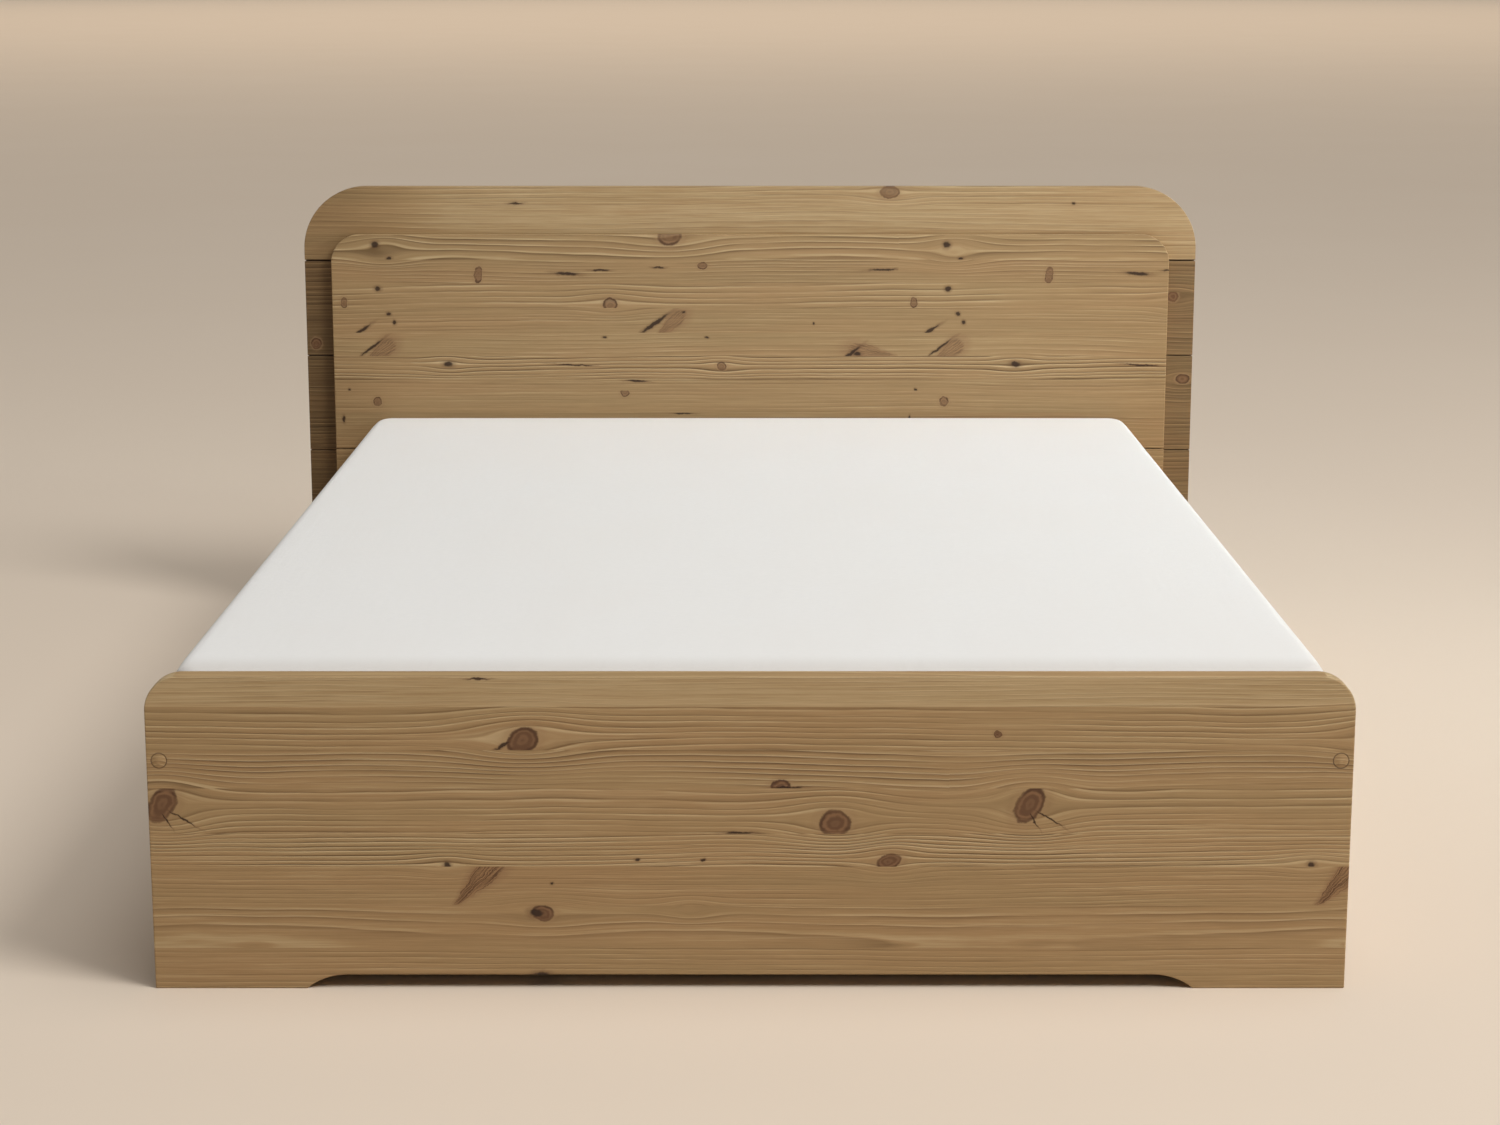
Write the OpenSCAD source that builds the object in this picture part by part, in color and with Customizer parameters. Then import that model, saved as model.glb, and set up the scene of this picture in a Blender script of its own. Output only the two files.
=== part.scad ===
/* [Mattress] */
// Width of the mattress
mattress_w = 1600; // [1200:10:1800]
// Length of the mattress
mattress_l = 2000; // [1900:10:2200]
// Height of the mattress in its middle
mattress_h = 163; // [120:1:200]
// Radius of the mattress's four corners, seen from above
mattress_corner_r = 32; // [20:1:80]
// Radius of the mattress's top and bottom edges
mattress_edge_r = 26; // [10:1:45]
// How much higher the mattress is in its middle than along its edge
mattress_crown = 7; // [1:1:20]
// How far the mattress's sides draw in between its edges
mattress_waist = 3; // [1:1:10]
// Gap between the mattress and each side rail
mattress_side_gap = 5.5; // [2:0.5:20]
// Gap between the mattress and each end of the bed
mattress_end_gap = 5; // [2:0.5:20]

/* [Footboard] */
// Height of the footboard
foot_h = 455; // [430:1:520]
// Thickness of the footboard
foot_t = 28; // [24:1:40]
// Radius of the footboard's upper corners
foot_corner_r = 50; // [20:1:90]
// How far the footboard reaches past the rails on each side
foot_overhang = 4; // [1:1:20]
// Width of each foot that the footboard stands on
foot_pad_w = 214; // [120:1:300]
// Height of the arch cut under the footboard
arch_h = 20; // [14:1:35]
// Radius of the arch's two corners
arch_r = 90; // [40:1:120]

/* [Headboard] */
// Height of the headboard
head_h = 950; // [860:1:1100]
// How far the headboard reaches past the footboard on each side
head_wing = 122.5; // [80:0.5:200]
// Thickness of the four back boards
back_t = 20; // [18:1:28]
// Height of the top back board
top_board_h = 158; // [150:1:190]
// Height of each of the three back boards under it
back_board_h = 208; // [180:1:215]
// Gap in the seam under the top back board
top_seam = 3; // [1:0.5:5]
// Gap in the other seams of the headboard
board_seam = 2; // [1:0.5:4]
// Radius of the back panel's upper corners
back_corner_r = 135; // [60:1:148]
// Thickness of the two front panels
front_t = 22; // [18:1:30]
// How far the front panels stop short of the back panel on each side
front_side_step = 60; // [20:1:75]
// How far the front panel stops below the top of the back panel
front_top_step = 102; // [40:1:120]
// Height of the lower front panel
front_lower_h = 215; // [205:1:240]
// How far the seam between the front panels lies above the rail bolts
front_seam_rise = 49; // [48:1:70]
// Radius of the front panel's upper corners
front_corner_r = 60; // [20:1:90]
// Width of each upright post behind the headboard
post_w = 95; // [70:1:110]
// Thickness of the posts
post_t = 34; // [28:1:45]
// How far the posts stop below the top of the headboard
post_drop = 22; // [10:1:25]

/* [Side rails and slats] */
// Height of the side rails
rail_h = 160; // [150:1:170]
// Thickness of the side rails
rail_t = 28; // [24:1:34]
// How far the rails lie below the top of the footboard
rail_drop = 45; // [30:1:60]
// Width of the ledges that carry the slats
ledge_w = 27; // [22:1:40]
// Height of the ledges
ledge_h = 27; // [22:1:40]
// Number of slats
slat_count = 15; // [10:1:20]
// Width of a slat
slat_w = 68; // [50:1:80]
// Thickness of a slat
slat_t = 18; // [15:1:24]
// Gap between a slat's end and the rail
slat_end_gap = 2; // [1:0.5:6]
// Gap between the first slat and the footboard, and the last and the headboard
slat_border = 30; // [10:1:60]
// Width of the centre beam
beam_w = 45; // [35:1:60]
// Height of the centre beam
beam_h = 60; // [45:1:62]
// Width of the square legs under the centre beam
leg_w = 45; // [35:1:60]
// Sheet thickness of the steel brackets that hold the beam
bracket_t = 2; // [1.5:0.5:3]
// Length of beam that each bracket holds
bracket_l = 40; // [30:1:60]
// How far each bracket's back plate reaches past the beam on either side
bracket_ear = 22; // [16:1:40]

/* [Drawers] */
// Thickness of the drawer fronts
drawer_front_t = 22; // [18:1:28]
// Gap between the floor and the drawer fronts
drawer_floor_gap = 15; // [8:1:25]
// Gap between the drawer fronts and the side rail over them
drawer_rail_gap = 4; // [2:0.5:8]
// Gap between a drawer front and the end of the bed
drawer_end_gap = 3; // [2:0.5:8]
// Gap between the two drawer fronts of one side
drawer_mid_gap = 4; // [2:0.5:8]
// Thickness of the drawers' sides and backs
drawer_side_t = 15; // [12:1:20]
// Thickness of the drawers' bottoms
drawer_bottom_t = 9; // [6:1:12]
// Height of the drawers' sides
drawer_side_h = 155; // [100:1:160]
// How far a drawer's box stops short of its front's ends
drawer_box_inset = 16; // [10:1:40]
// Width of the finger grip in the front's top edge
grip_w = 220; // [120:1:300]
// Depth of the finger grip
grip_d = 28; // [22:1:40]

/* [Castors] */
// Diameter of the drawer wheels
wheel_d = 40; // [30:1:44]
// Width of a wheel's tread
wheel_w = 16; // [12:1:24]
// Width of a wheel's hub
hub_w = 18; // [17:0.5:26]
// Diameter of a wheel's hub
hub_d = 16; // [12:0.5:20]
// Diameter of the castors' axle pins
axle_d = 6; // [4:0.5:8]
// Thickness of the castors' steel forks
fork_t = 2.5; // [2:0.5:4]
// Length of a castor's plate
fork_l = 64; // [50:1:80]
// Distance from a drawer's corner to its castor, each way
castor_inset = 62; // [45:1:120]

/* [Fasteners] */
// Height of the rail bolts over the lower edge of the side rails
bolt_z = 84; // [70:1:100]
// Diameter of the rail bolts
bolt_d = 8; // [6:1:10]
// Diameter of the bolts' heads
bolt_head_d = 13; // [12:0.5:14]
// Height of the bolts' heads
bolt_head_h = 5; // [4:0.5:7]
// Depth that the bolt heads are sunk in the footboard and the posts
bolt_sink = 14; // [12:1:16]
// Diameter of the holes that the bolt heads are sunk in
bolt_sink_d = 16; // [15:0.5:18]
// Length of each bolt that runs into a rail
bolt_in_rail = 64; // [50:1:90]
// Diameter of the barrel nuts
nut_d = 14; // [13:0.5:16]
// Length of the barrel nuts
nut_l = 20; // [16:1:22]
// Distance from a rail's end to its barrel nut
nut_inset = 50; // [35:1:56]
// Diameter of the round cover plugs
plug_d = 20; // [19:0.5:26]
// How far the cover plugs stand out of the footboard
plug_dome = 2; // [1:0.5:4]
// Length of a cover plug's stem
plug_stem_l = 6; // [4:0.5:7]
// Diameter of the rail dowels
dowel_d = 10; // [6:1:12]
// Length of dowel that is glued into the headboard or the footboard
dowel_in_board = 16; // [10:1:17]
// Length of dowel that runs into the rail
dowel_in_rail = 24; // [15:1:40]
// Distance of the dowels above and below the bolt
dowel_step = 38; // [20:1:40]
// Diameter of the wood screws
screw_d = 4; // [3:0.5:5]
// Diameter of the wood screws' heads
screw_head_d = 8; // [6:0.5:9]
// Length of the screws through the posts
post_screw_l = 50; // [45:1:52]
// Length of the screws through the back boards
panel_screw_l = 32; // [28:1:38]
// Distance of the panel screws from the middle of the bed
panel_screw_x = 430; // [200:1:500]
// Length of the screws through the ledges
ledge_screw_l = 45; // [40:1:48]
// Length of the screws through the slats
slat_screw_l = 35; // [30:1:40]
// Length of the bracket screws
bracket_screw_l = 16; // [12:1:20]

/* [Hidden] */
$fn = 64;

// Clearances shared by everything that fits together. A screw's hole has more of them past its tip.
seat_gap = 0.3;
hole_gap = 0.1;
tip_rooms = 5;
pin_gap = 0.05;
cut_over = 1;

// Widths, from the mattress outwards
inner_w = mattress_w + 2 * mattress_side_gap;
rail_in_x = inner_w / 2;
rail_out_x = rail_in_x + rail_t;
bolt_x = rail_in_x + rail_t / 2;
foot_w = 2 * (rail_out_x + foot_overhang);
head_w = foot_w + 2 * head_wing;
front_w = head_w - 2 * front_side_step;

// Depths, from the front of the cover plugs to the back of the posts
inner_l = mattress_l + 2 * mattress_end_gap;
overall_l = plug_dome + foot_t + inner_l + front_t + back_t + post_t;
foot_y = -overall_l / 2 + plug_dome;
inner_foot_y = foot_y + foot_t;
inner_head_y = inner_foot_y + inner_l;
back_y = inner_head_y + front_t;
post_y = back_y + back_t;
rear_y = post_y + post_t;

// Heights, from the footboard's top downwards
rail_top_z = foot_h - rail_drop;
rail_z = rail_top_z - rail_h;
slat_z = rail_z + ledge_h;
slat_top_z = slat_z + slat_t;
beam_z = slat_z - beam_h;
bolt_axis_z = rail_z + bolt_z;

// Back boards of the headboard, from the top downwards
top_board_z = head_h - top_board_h;
upper_board_z = top_board_z - back_board_h;
middle_board_z = upper_board_z - back_board_h;
lower_board_z = middle_board_z - back_board_h;

// Front panels of the headboard. The lower one takes the side rails.
front_top_z = head_h - front_top_step;
front_seam_z = bolt_axis_z + front_seam_rise;
front_lower_z = front_seam_z - front_lower_h;

// Posts of the headboard
post_h = head_h - post_drop;
post_xs = [-bolt_x, 0, bolt_x];

// Slats
slat_pitch = (inner_l - 2 * slat_border - slat_w) / (slat_count - 1);
slat_screw_x = rail_in_x - ledge_w / 2;
ledge_screw_z = rail_z + ledge_h / 2;
slats_per_ledge_screw = 3;
function slat_y(i) = inner_foot_y + slat_border + slat_w / 2 + i * slat_pitch;

// Drawers. Side is -1 on the left and 1 on the right, bay is 0 at the foot and 1 at the head.
drawer_front_l = (inner_l - 2 * drawer_end_gap - drawer_mid_gap) / 2;
drawer_front_top_z = rail_z - drawer_rail_gap;
drawer_box_out_x = rail_out_x - drawer_front_t;
drawer_box_in_x = leg_w / 2 + seat_gap;
drawer_box_depth = drawer_box_out_x - drawer_box_in_x;
drawer_box_l = drawer_front_l - 2 * drawer_box_inset;
function drawer_y(bay) = inner_foot_y + drawer_end_gap + bay * (drawer_front_l + drawer_mid_gap);
function drawer_mid_y(bay) = drawer_y(bay) + drawer_front_l / 2;

// Castors
wheel_gap = 3;
fork_plate_z = wheel_d + wheel_gap;
drawer_bottom_z = fork_plate_z + fork_t;
drawer_side_z = drawer_bottom_z + drawer_bottom_t;
hub_gap = 0.4;
fork_w = hub_w + 2 * hub_gap + 2 * fork_t;
fork_foot_w = 22;
castor_screw_cover = 2;
castor_screw_l = fork_t + drawer_bottom_t - castor_screw_cover;
castor_screw_x = fork_l / 2 - screw_head_d;
outer_wheel_x = drawer_box_out_x - castor_inset;
inner_wheel_x = drawer_box_in_x + castor_inset;

// Wood colours, and those of the metal, plastic and cloth
PINE = [0.66, 0.52, 0.36];
PALE_PINE = [0.74, 0.61, 0.44];
STEEL = [0.68, 0.69, 0.70];
GREY_PLASTIC = [0.35, 0.35, 0.36];
WHITE_CLOTH = [0.93, 0.92, 0.90];

// A board given by its lowest and highest corners
module board(low, high) {
    translate(low) cube(high - low);
}

// A flat shape, drawn in X and Z, given a thickness from y towards the head of the bed
module upright(y, thickness) {
    translate([0, y + thickness, 0]) rotate([90, 0, 0]) linear_extrude(thickness) children();
}

// Outline of an upright panel with two round upper corners
module round_topped(width, low_z, high_z, radius) {
    translate([-width / 2, low_z]) square([width, high_z - radius - low_z]);
    translate([radius - width / 2, low_z]) square([width - 2 * radius, high_z - low_z]);
    for (side = [-1, 1])
        intersection() {
            translate([side * (width / 2 - radius), high_z - radius]) circle(radius);
            translate([-width / 2, high_z - radius]) square([width, radius]);
        }
}

// A rod along Y from y0 to y1
module rod_y(x, y0, y1, z, diameter) {
    translate([x, y0, z]) rotate([-90, 0, 0]) cylinder(d = diameter, h = y1 - y0);
}

// A rod along X from x0 to x1
module rod_x(x0, x1, y, z, diameter) {
    translate([x0, y, z]) rotate([0, 90, 0]) cylinder(d = diameter, h = x1 - x0);
}

// A countersunk wood screw that points down from its head's flat face. Room widens it to its hole.
module wood_screw(screw_l, room = 0) {
    cone_h = (screw_head_d - screw_d) / 2;
    depth = screw_l + tip_rooms * room;
    translate([0, 0, -depth]) cylinder(d = screw_d + 2 * room, h = depth);
    translate([0, 0, -cone_h])
        cylinder(d1 = screw_d + 2 * room, d2 = screw_head_d + 2 * room, h = cone_h);
}

// The same screw pointing towards the foot of the bed
module screw_to_foot(x, y, z, screw_l, room = 0) {
    translate([x, y, z]) rotate([-90, 0, 0]) wood_screw(screw_l, room);
}

// Places of all screws from behind the headboard
module headboard_screw_set(room = 0) {
    board_mids = [
        top_board_z + top_board_h / 2,
        upper_board_z + back_board_h / 2,
        middle_board_z + back_board_h / 2,
        lower_board_z + back_board_h / 2
    ];
    for (x = post_xs)
        for (mid = board_mids)
            for (step = [-1, 1])
                screw_to_foot(x, rear_y, mid + step * back_board_h / 6, post_screw_l, room);
    for (x = [-panel_screw_x, panel_screw_x])
        for (mid = [upper_board_z, middle_board_z, lower_board_z])
            screw_to_foot(x, post_y, mid + back_board_h / 2, panel_screw_l, room);
}

// One bolt at each end of each rail, with the hole that its head is sunk in
module rail_bolt_set(room = 0) {
    diameter = bolt_d + 2 * room;
    for (x = [-bolt_x, bolt_x]) {
        rod_y(x, foot_y + bolt_sink - room, inner_foot_y + bolt_in_rail + room, bolt_axis_z, diameter);
        rod_y(x, inner_head_y - bolt_in_rail - room, rear_y - bolt_sink + room, bolt_axis_z, diameter);
    }
}

module bolt_sink_set() {
    for (x = [-bolt_x, bolt_x]) {
        rod_y(x, foot_y - cut_over, foot_y + bolt_sink, bolt_axis_z, bolt_sink_d);
        rod_y(x, rear_y - bolt_sink, rear_y + cut_over, bolt_axis_z, bolt_sink_d);
    }
}

module rail_dowel_set(room = 0) {
    for (x = [-bolt_x, bolt_x])
        for (step = [-1, 1]) {
            z = bolt_axis_z + step * dowel_step;
            rod_y(x, inner_foot_y - dowel_in_board - room, inner_foot_y + dowel_in_rail + room,
                z, dowel_d + 2 * room);
            rod_y(x, inner_head_y - dowel_in_rail - room, inner_head_y + dowel_in_board + room,
                z, dowel_d + 2 * room);
        }
}

module barrel_nut_set(room = 0) {
    for (side = [-1, 1])
        for (y = [inner_foot_y + nut_inset, inner_head_y - nut_inset])
            mirror([side < 0 ? 1 : 0, 0, 0])
                rod_x(rail_in_x + (rail_t - nut_l) / 2 - room, rail_in_x + (rail_t + nut_l) / 2 + room,
                    y, bolt_axis_z, nut_d + 2 * room);
}

module ledge_screw_set(side, room = 0) {
    for (i = [1 : slats_per_ledge_screw : slat_count - 2])
        translate([side * (rail_in_x - ledge_w), slat_y(i) + slat_pitch / 2, ledge_screw_z])
            rotate([0, -side * 90, 0]) wood_screw(ledge_screw_l, room);
}

module slat_screw_set(room = 0) {
    for (i = [0 : slat_count - 1])
        for (side = [-1, 1])
            translate([side * slat_screw_x, slat_y(i), slat_top_z]) wood_screw(slat_screw_l, room);
}

module bracket_screw_set(room = 0) {
    screw_x = beam_w / 2 + bracket_t + bracket_ear / 2;
    for (x = [-screw_x, screw_x])
        for (z = [beam_z + beam_h / 4, beam_z + 3 * beam_h / 4]) {
            translate([x, inner_foot_y + bracket_t, z]) rotate([-90, 0, 0]) wood_screw(bracket_screw_l, room);
            translate([x, inner_head_y - bracket_t, z]) rotate([90, 0, 0]) wood_screw(bracket_screw_l, room);
        }
}

// Headboard
module back_board(low_z, high_z) {
    difference() {
        board([-head_w / 2, back_y, low_z], [head_w / 2, post_y, high_z]);
        headboard_screw_set(hole_gap);
        rail_bolt_set(hole_gap);
    }
}

module headboard_top_board() {
    color(PINE) difference() {
        upright(back_y, back_t) round_topped(head_w, top_board_z, head_h, back_corner_r);
        headboard_screw_set(hole_gap);
    }
}

module headboard_upper_board() {
    color(PINE) back_board(upper_board_z, top_board_z - top_seam);
}

module headboard_middle_board() {
    color(PINE) back_board(middle_board_z, upper_board_z - board_seam);
}

module headboard_lower_board() {
    color(PINE) back_board(lower_board_z, middle_board_z - board_seam);
}

module headboard_front_panel() {
    color(PALE_PINE) difference() {
        upright(inner_head_y, front_t) round_topped(front_w, front_seam_z, front_top_z, front_corner_r);
        headboard_screw_set(hole_gap);
    }
}

module headboard_front_lower_panel() {
    color(PALE_PINE) difference() {
        board([-front_w / 2, inner_head_y, front_lower_z], [front_w / 2, back_y, front_seam_z - board_seam]);
        headboard_screw_set(hole_gap);
        rail_bolt_set(hole_gap);
        rail_dowel_set(hole_gap);
        bracket_screw_set(hole_gap);
    }
}

module headboard_post(x) {
    color(PINE) difference() {
        board([x - post_w / 2, post_y, 0], [x + post_w / 2, rear_y, post_h]);
        headboard_screw_set(hole_gap);
        rail_bolt_set(hole_gap);
        bolt_sink_set();
    }
}

module headboard_left_post() {
    headboard_post(-bolt_x);
}

module headboard_centre_post() {
    headboard_post(0);
}

module headboard_right_post() {
    headboard_post(bolt_x);
}

module headboard_screws() {
    color(STEEL) headboard_screw_set();
}

// Footboard, with the arch that leaves it standing on two feet
module arch_outline() {
    corner_run = sqrt(arch_r * arch_r - (arch_r - arch_h) * (arch_r - arch_h));
    flat_x = foot_w / 2 - foot_pad_w - corner_run;
    translate([-flat_x, -cut_over]) square([2 * flat_x, arch_h + cut_over]);
    for (side = [-1, 1])
        translate([side * flat_x, arch_h - arch_r]) circle(arch_r);
}

module footboard() {
    color(PINE) difference() {
        upright(foot_y, foot_t) difference() {
            round_topped(foot_w, 0, foot_h, foot_corner_r);
            arch_outline();
        }
        rail_bolt_set(hole_gap);
        bolt_sink_set();
        rail_dowel_set(hole_gap);
        bracket_screw_set(hole_gap);
    }
}

// Cover plugs: a round stem in the bolt's hole, under a domed cap
module footboard_plugs() {
    dome_r = (plug_d * plug_d / 4 + plug_dome * plug_dome) / (2 * plug_dome);
    color(PALE_PINE) for (x = [-bolt_x, bolt_x])
        translate([x, foot_y, bolt_axis_z]) rotate([90, 0, 0]) {
            intersection() {
                translate([0, 0, plug_dome - dome_r]) sphere(dome_r);
                cylinder(d = plug_d, h = plug_dome);
            }
            translate([0, 0, -plug_stem_l]) cylinder(d = bolt_sink_d - 2 * hole_gap, h = plug_stem_l);
        }
}

// Side rails
module side_rail(side) {
    color(PINE) difference() {
        board([side > 0 ? rail_in_x : -rail_out_x, inner_foot_y, rail_z],
            [side > 0 ? rail_out_x : -rail_in_x, inner_head_y, rail_top_z]);
        rail_bolt_set(hole_gap);
        rail_dowel_set(hole_gap);
        barrel_nut_set(hole_gap);
        ledge_screw_set(side, hole_gap);
    }
}

module left_side_rail() {
    side_rail(-1);
}

module right_side_rail() {
    side_rail(1);
}

module slat_ledge(side) {
    ledge_in_x = rail_in_x - ledge_w;
    color(PALE_PINE) difference() {
        board([side > 0 ? ledge_in_x : -rail_in_x, inner_foot_y, rail_z],
            [side > 0 ? rail_in_x : -ledge_in_x, inner_head_y, slat_z]);
        ledge_screw_set(side, hole_gap);
        slat_screw_set(hole_gap);
    }
}

module left_slat_ledge() {
    slat_ledge(-1);
}

module right_slat_ledge() {
    slat_ledge(1);
}

module ledge_screws() {
    color(STEEL) for (side = [-1, 1]) ledge_screw_set(side);
}

module rail_bolts() {
    color(STEEL) {
        rail_bolt_set();
        for (x = [-bolt_x, bolt_x]) {
            rod_y(x, foot_y + bolt_sink - bolt_head_h, foot_y + bolt_sink, bolt_axis_z, bolt_head_d);
            rod_y(x, rear_y - bolt_sink, rear_y - bolt_sink + bolt_head_h, bolt_axis_z, bolt_head_d);
        }
    }
}

module rail_barrel_nuts() {
    color(STEEL) difference() {
        barrel_nut_set();
        rail_bolt_set(pin_gap);
    }
}

module rail_dowels() {
    color(PALE_PINE) rail_dowel_set();
}

// Centre beam, the brackets that hold its ends and the two legs under it
module centre_beam() {
    end_gap = bracket_t + seat_gap;
    color(PALE_PINE)
        board([-beam_w / 2, inner_foot_y + end_gap, beam_z], [beam_w / 2, inner_head_y - end_gap, slat_z]);
}

module beam_bracket() {
    half_w = beam_w / 2 + seat_gap;
    plate_x = half_w + bracket_t + bracket_ear;
    cheek_top_z = slat_z - bracket_t;
    board([-plate_x, 0, beam_z - bracket_t], [plate_x, bracket_t, cheek_top_z]);
    board([-half_w - bracket_t, 0, beam_z - bracket_t], [half_w + bracket_t, bracket_l, beam_z]);
    for (side = [-1, 1])
        translate([side * (half_w + bracket_t / 2) - bracket_t / 2, 0, beam_z - bracket_t])
            cube([bracket_t, bracket_l, cheek_top_z - beam_z + bracket_t]);
}

module beam_brackets() {
    color(STEEL) difference() {
        union() {
            translate([0, inner_foot_y, 0]) beam_bracket();
            translate([0, inner_head_y, 0]) mirror([0, 1, 0]) beam_bracket();
        }
        bracket_screw_set(hole_gap);
    }
}

module bracket_screws() {
    color(STEEL) bracket_screw_set();
}

module centre_leg(bay) {
    mid_y = drawer_mid_y(bay);
    color(PALE_PINE) board([-leg_w / 2, mid_y - leg_w / 2, 0], [leg_w / 2, mid_y + leg_w / 2, beam_z]);
}

module foot_centre_leg() {
    centre_leg(0);
}

module head_centre_leg() {
    centre_leg(1);
}

// Slats, screwed down to the ledges
module slats() {
    half_l = rail_in_x - slat_end_gap;
    color(PALE_PINE) difference() {
        for (i = [0 : slat_count - 1])
            board([-half_l, slat_y(i) - slat_w / 2, slat_z], [half_l, slat_y(i) + slat_w / 2, slat_top_z]);
        slat_screw_set(hole_gap);
    }
}

module slat_screws() {
    color(STEEL) slat_screw_set();
}

// Mattress: rounded edges, sides that draw in, and a top that rises towards its middle
mattress_z = slat_top_z + seat_gap;
mattress_y = (inner_foot_y + inner_head_y) / 2;
corner_steps = 5;
edge_steps = 4;
side_steps = 4;
crown_steps = 6;
least_corner_r = 1;
edge_top = mattress_h - mattress_crown;

// One ring of the mattress's outline, drawn in by inset, shrunk to scale and raised to z
function ring(inset, scale, z) = [
    for (quarter = [0 : 3])
        for (i = [0 : corner_steps])
            let (
                turn = 90 * (quarter + i / corner_steps),
                sx = quarter == 0 || quarter == 3 ? 1 : -1,
                sy = quarter < 2 ? 1 : -1,
                radius = max(mattress_corner_r - inset, least_corner_r),
                half_x = mattress_w / 2 - inset - radius,
                half_y = mattress_l / 2 - inset - radius
            )
            [
                scale * (sx * half_x + radius * cos(turn)),
                mattress_y + scale * (sy * half_y + radius * sin(turn)),
                mattress_z + z
            ]
];

// Rings from the bottom's edge, up the side and over the top
function bottom_edge_rings() = [
    for (i = [0 : edge_steps])
        let (turn = 90 * i / edge_steps)
        ring(mattress_edge_r * (1 - sin(turn)), 1, mattress_edge_r * (1 - cos(turn)))
];

function side_rings() = [
    for (i = [1 : side_steps - 1])
        let (share = i / side_steps)
        ring(mattress_waist * sin(180 * share), 1,
            mattress_edge_r + share * (edge_top - 2 * mattress_edge_r))
];

function top_edge_rings() = [
    for (i = [0 : edge_steps])
        let (turn = 90 * i / edge_steps)
        ring(mattress_edge_r * (1 - cos(turn)), 1, edge_top - mattress_edge_r * (1 - sin(turn)))
];

function crown_rings() = [
    for (i = [1 : crown_steps - 1])
        let (scale = 1 - i / crown_steps)
        ring(mattress_edge_r, scale, edge_top + mattress_crown * (1 - scale * scale))
];

module mattress() {
    rings = concat(bottom_edge_rings(), side_rings(), top_edge_rings(), crown_rings());
    points_in_ring = len(rings[0]);
    last_ring = len(rings) - 1;
    bottom_tip = len(rings) * points_in_ring;
    top_tip = bottom_tip + 1;
    tips = [[0, mattress_y, mattress_z], [0, mattress_y, mattress_z + mattress_h]];
    points = concat([for (r = rings) each r], tips);
    walls = [
        for (k = [0 : last_ring - 1])
            for (i = [0 : points_in_ring - 1])
                let (
                    j = (i + 1) % points_in_ring,
                    low = k * points_in_ring,
                    high = low + points_in_ring
                )
                each [[low + i, high + i, high + j], [low + i, high + j, low + j]]
    ];
    bottom = [for (i = [0 : points_in_ring - 1]) [bottom_tip, i, (i + 1) % points_in_ring]];
    top_start = last_ring * points_in_ring;
    top = [for (i = [0 : points_in_ring - 1]) [top_tip, top_start + (i + 1) % points_in_ring, top_start + i]];
    color(WHITE_CLOTH) polyhedron(points, concat(walls, bottom, top));
}

// Drawers
module on_side(side) {
    mirror([side < 0 ? 1 : 0, 0, 0]) children();
}

module grip_outline() {
    for (end = [-1, 1])
        translate([end * (grip_w / 2 - grip_d), 0]) circle(grip_d);
    translate([grip_d - grip_w / 2, -grip_d]) square([grip_w - 2 * grip_d, 2 * grip_d]);
}

module drawer_front(side, bay) {
    y = drawer_y(bay);
    color(PINE) on_side(side) difference() {
        board([drawer_box_out_x, y, drawer_floor_gap], [rail_out_x, y + drawer_front_l, drawer_front_top_z]);
        translate([drawer_box_out_x - cut_over, drawer_mid_y(bay), drawer_front_top_z])
            rotate([90, 0, 90]) linear_extrude(drawer_front_t + 2 * cut_over) grip_outline();
    }
}

// End is 0 for the board towards the foot of the bed and 1 for the one towards its head
module drawer_side(side, bay, end) {
    y = drawer_y(bay) + drawer_box_inset + end * (drawer_box_l - drawer_side_t);
    color(PALE_PINE) on_side(side)
        board([drawer_box_in_x, y, drawer_side_z],
            [drawer_box_out_x, y + drawer_side_t, drawer_side_z + drawer_side_h]);
}

module drawer_back(side, bay) {
    y = drawer_y(bay) + drawer_box_inset + drawer_side_t;
    back_l = drawer_box_l - 2 * drawer_side_t;
    color(PALE_PINE) on_side(side)
        board([drawer_box_in_x, y, drawer_side_z],
            [drawer_box_in_x + drawer_side_t, y + back_l, drawer_side_z + drawer_side_h]);
}

module drawer_bottom(side, bay) {
    y = drawer_y(bay) + drawer_box_inset;
    color(PALE_PINE) on_side(side) difference() {
        board([drawer_box_in_x, y, drawer_bottom_z], [drawer_box_out_x, y + drawer_box_l, drawer_side_z]);
        castor_screw_set(bay, hole_gap);
    }
}

function castor_ys(bay) = [
    drawer_y(bay) + drawer_box_inset + castor_inset,
    drawer_y(bay) + drawer_box_inset + drawer_box_l - castor_inset
];

// Two screws through each castor's plate, with their heads down
module castor_screw_set(bay, room = 0) {
    for (x = [inner_wheel_x, outer_wheel_x])
        for (y = castor_ys(bay))
            for (end = [-1, 1])
                translate([x + end * castor_screw_x, y, fork_plate_z])
                    rotate([180, 0, 0]) wood_screw(castor_screw_l, room);
}

// A castor's steel fork with its axle pin: a plate under the drawer's bottom and two cheeks
module castor() {
    pin_l = fork_w + 2 * fork_t;
    difference() {
        union() {
            translate([-fork_l / 2, -fork_w / 2, fork_plate_z]) cube([fork_l, fork_w, fork_t]);
            for (y = [-fork_w / 2, fork_w / 2 - fork_t])
                upright(y, fork_t) {
                    translate([0, wheel_d / 2]) circle(d = fork_foot_w);
                    translate([-fork_foot_w / 2, wheel_d / 2])
                        square([fork_foot_w, fork_plate_z + fork_t - wheel_d / 2]);
                }
        }
        rod_y(0, -pin_l, pin_l, wheel_d / 2, axle_d + 2 * pin_gap);
    }
    rod_y(0, -pin_l / 2, pin_l / 2, wheel_d / 2, axle_d);
}

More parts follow.
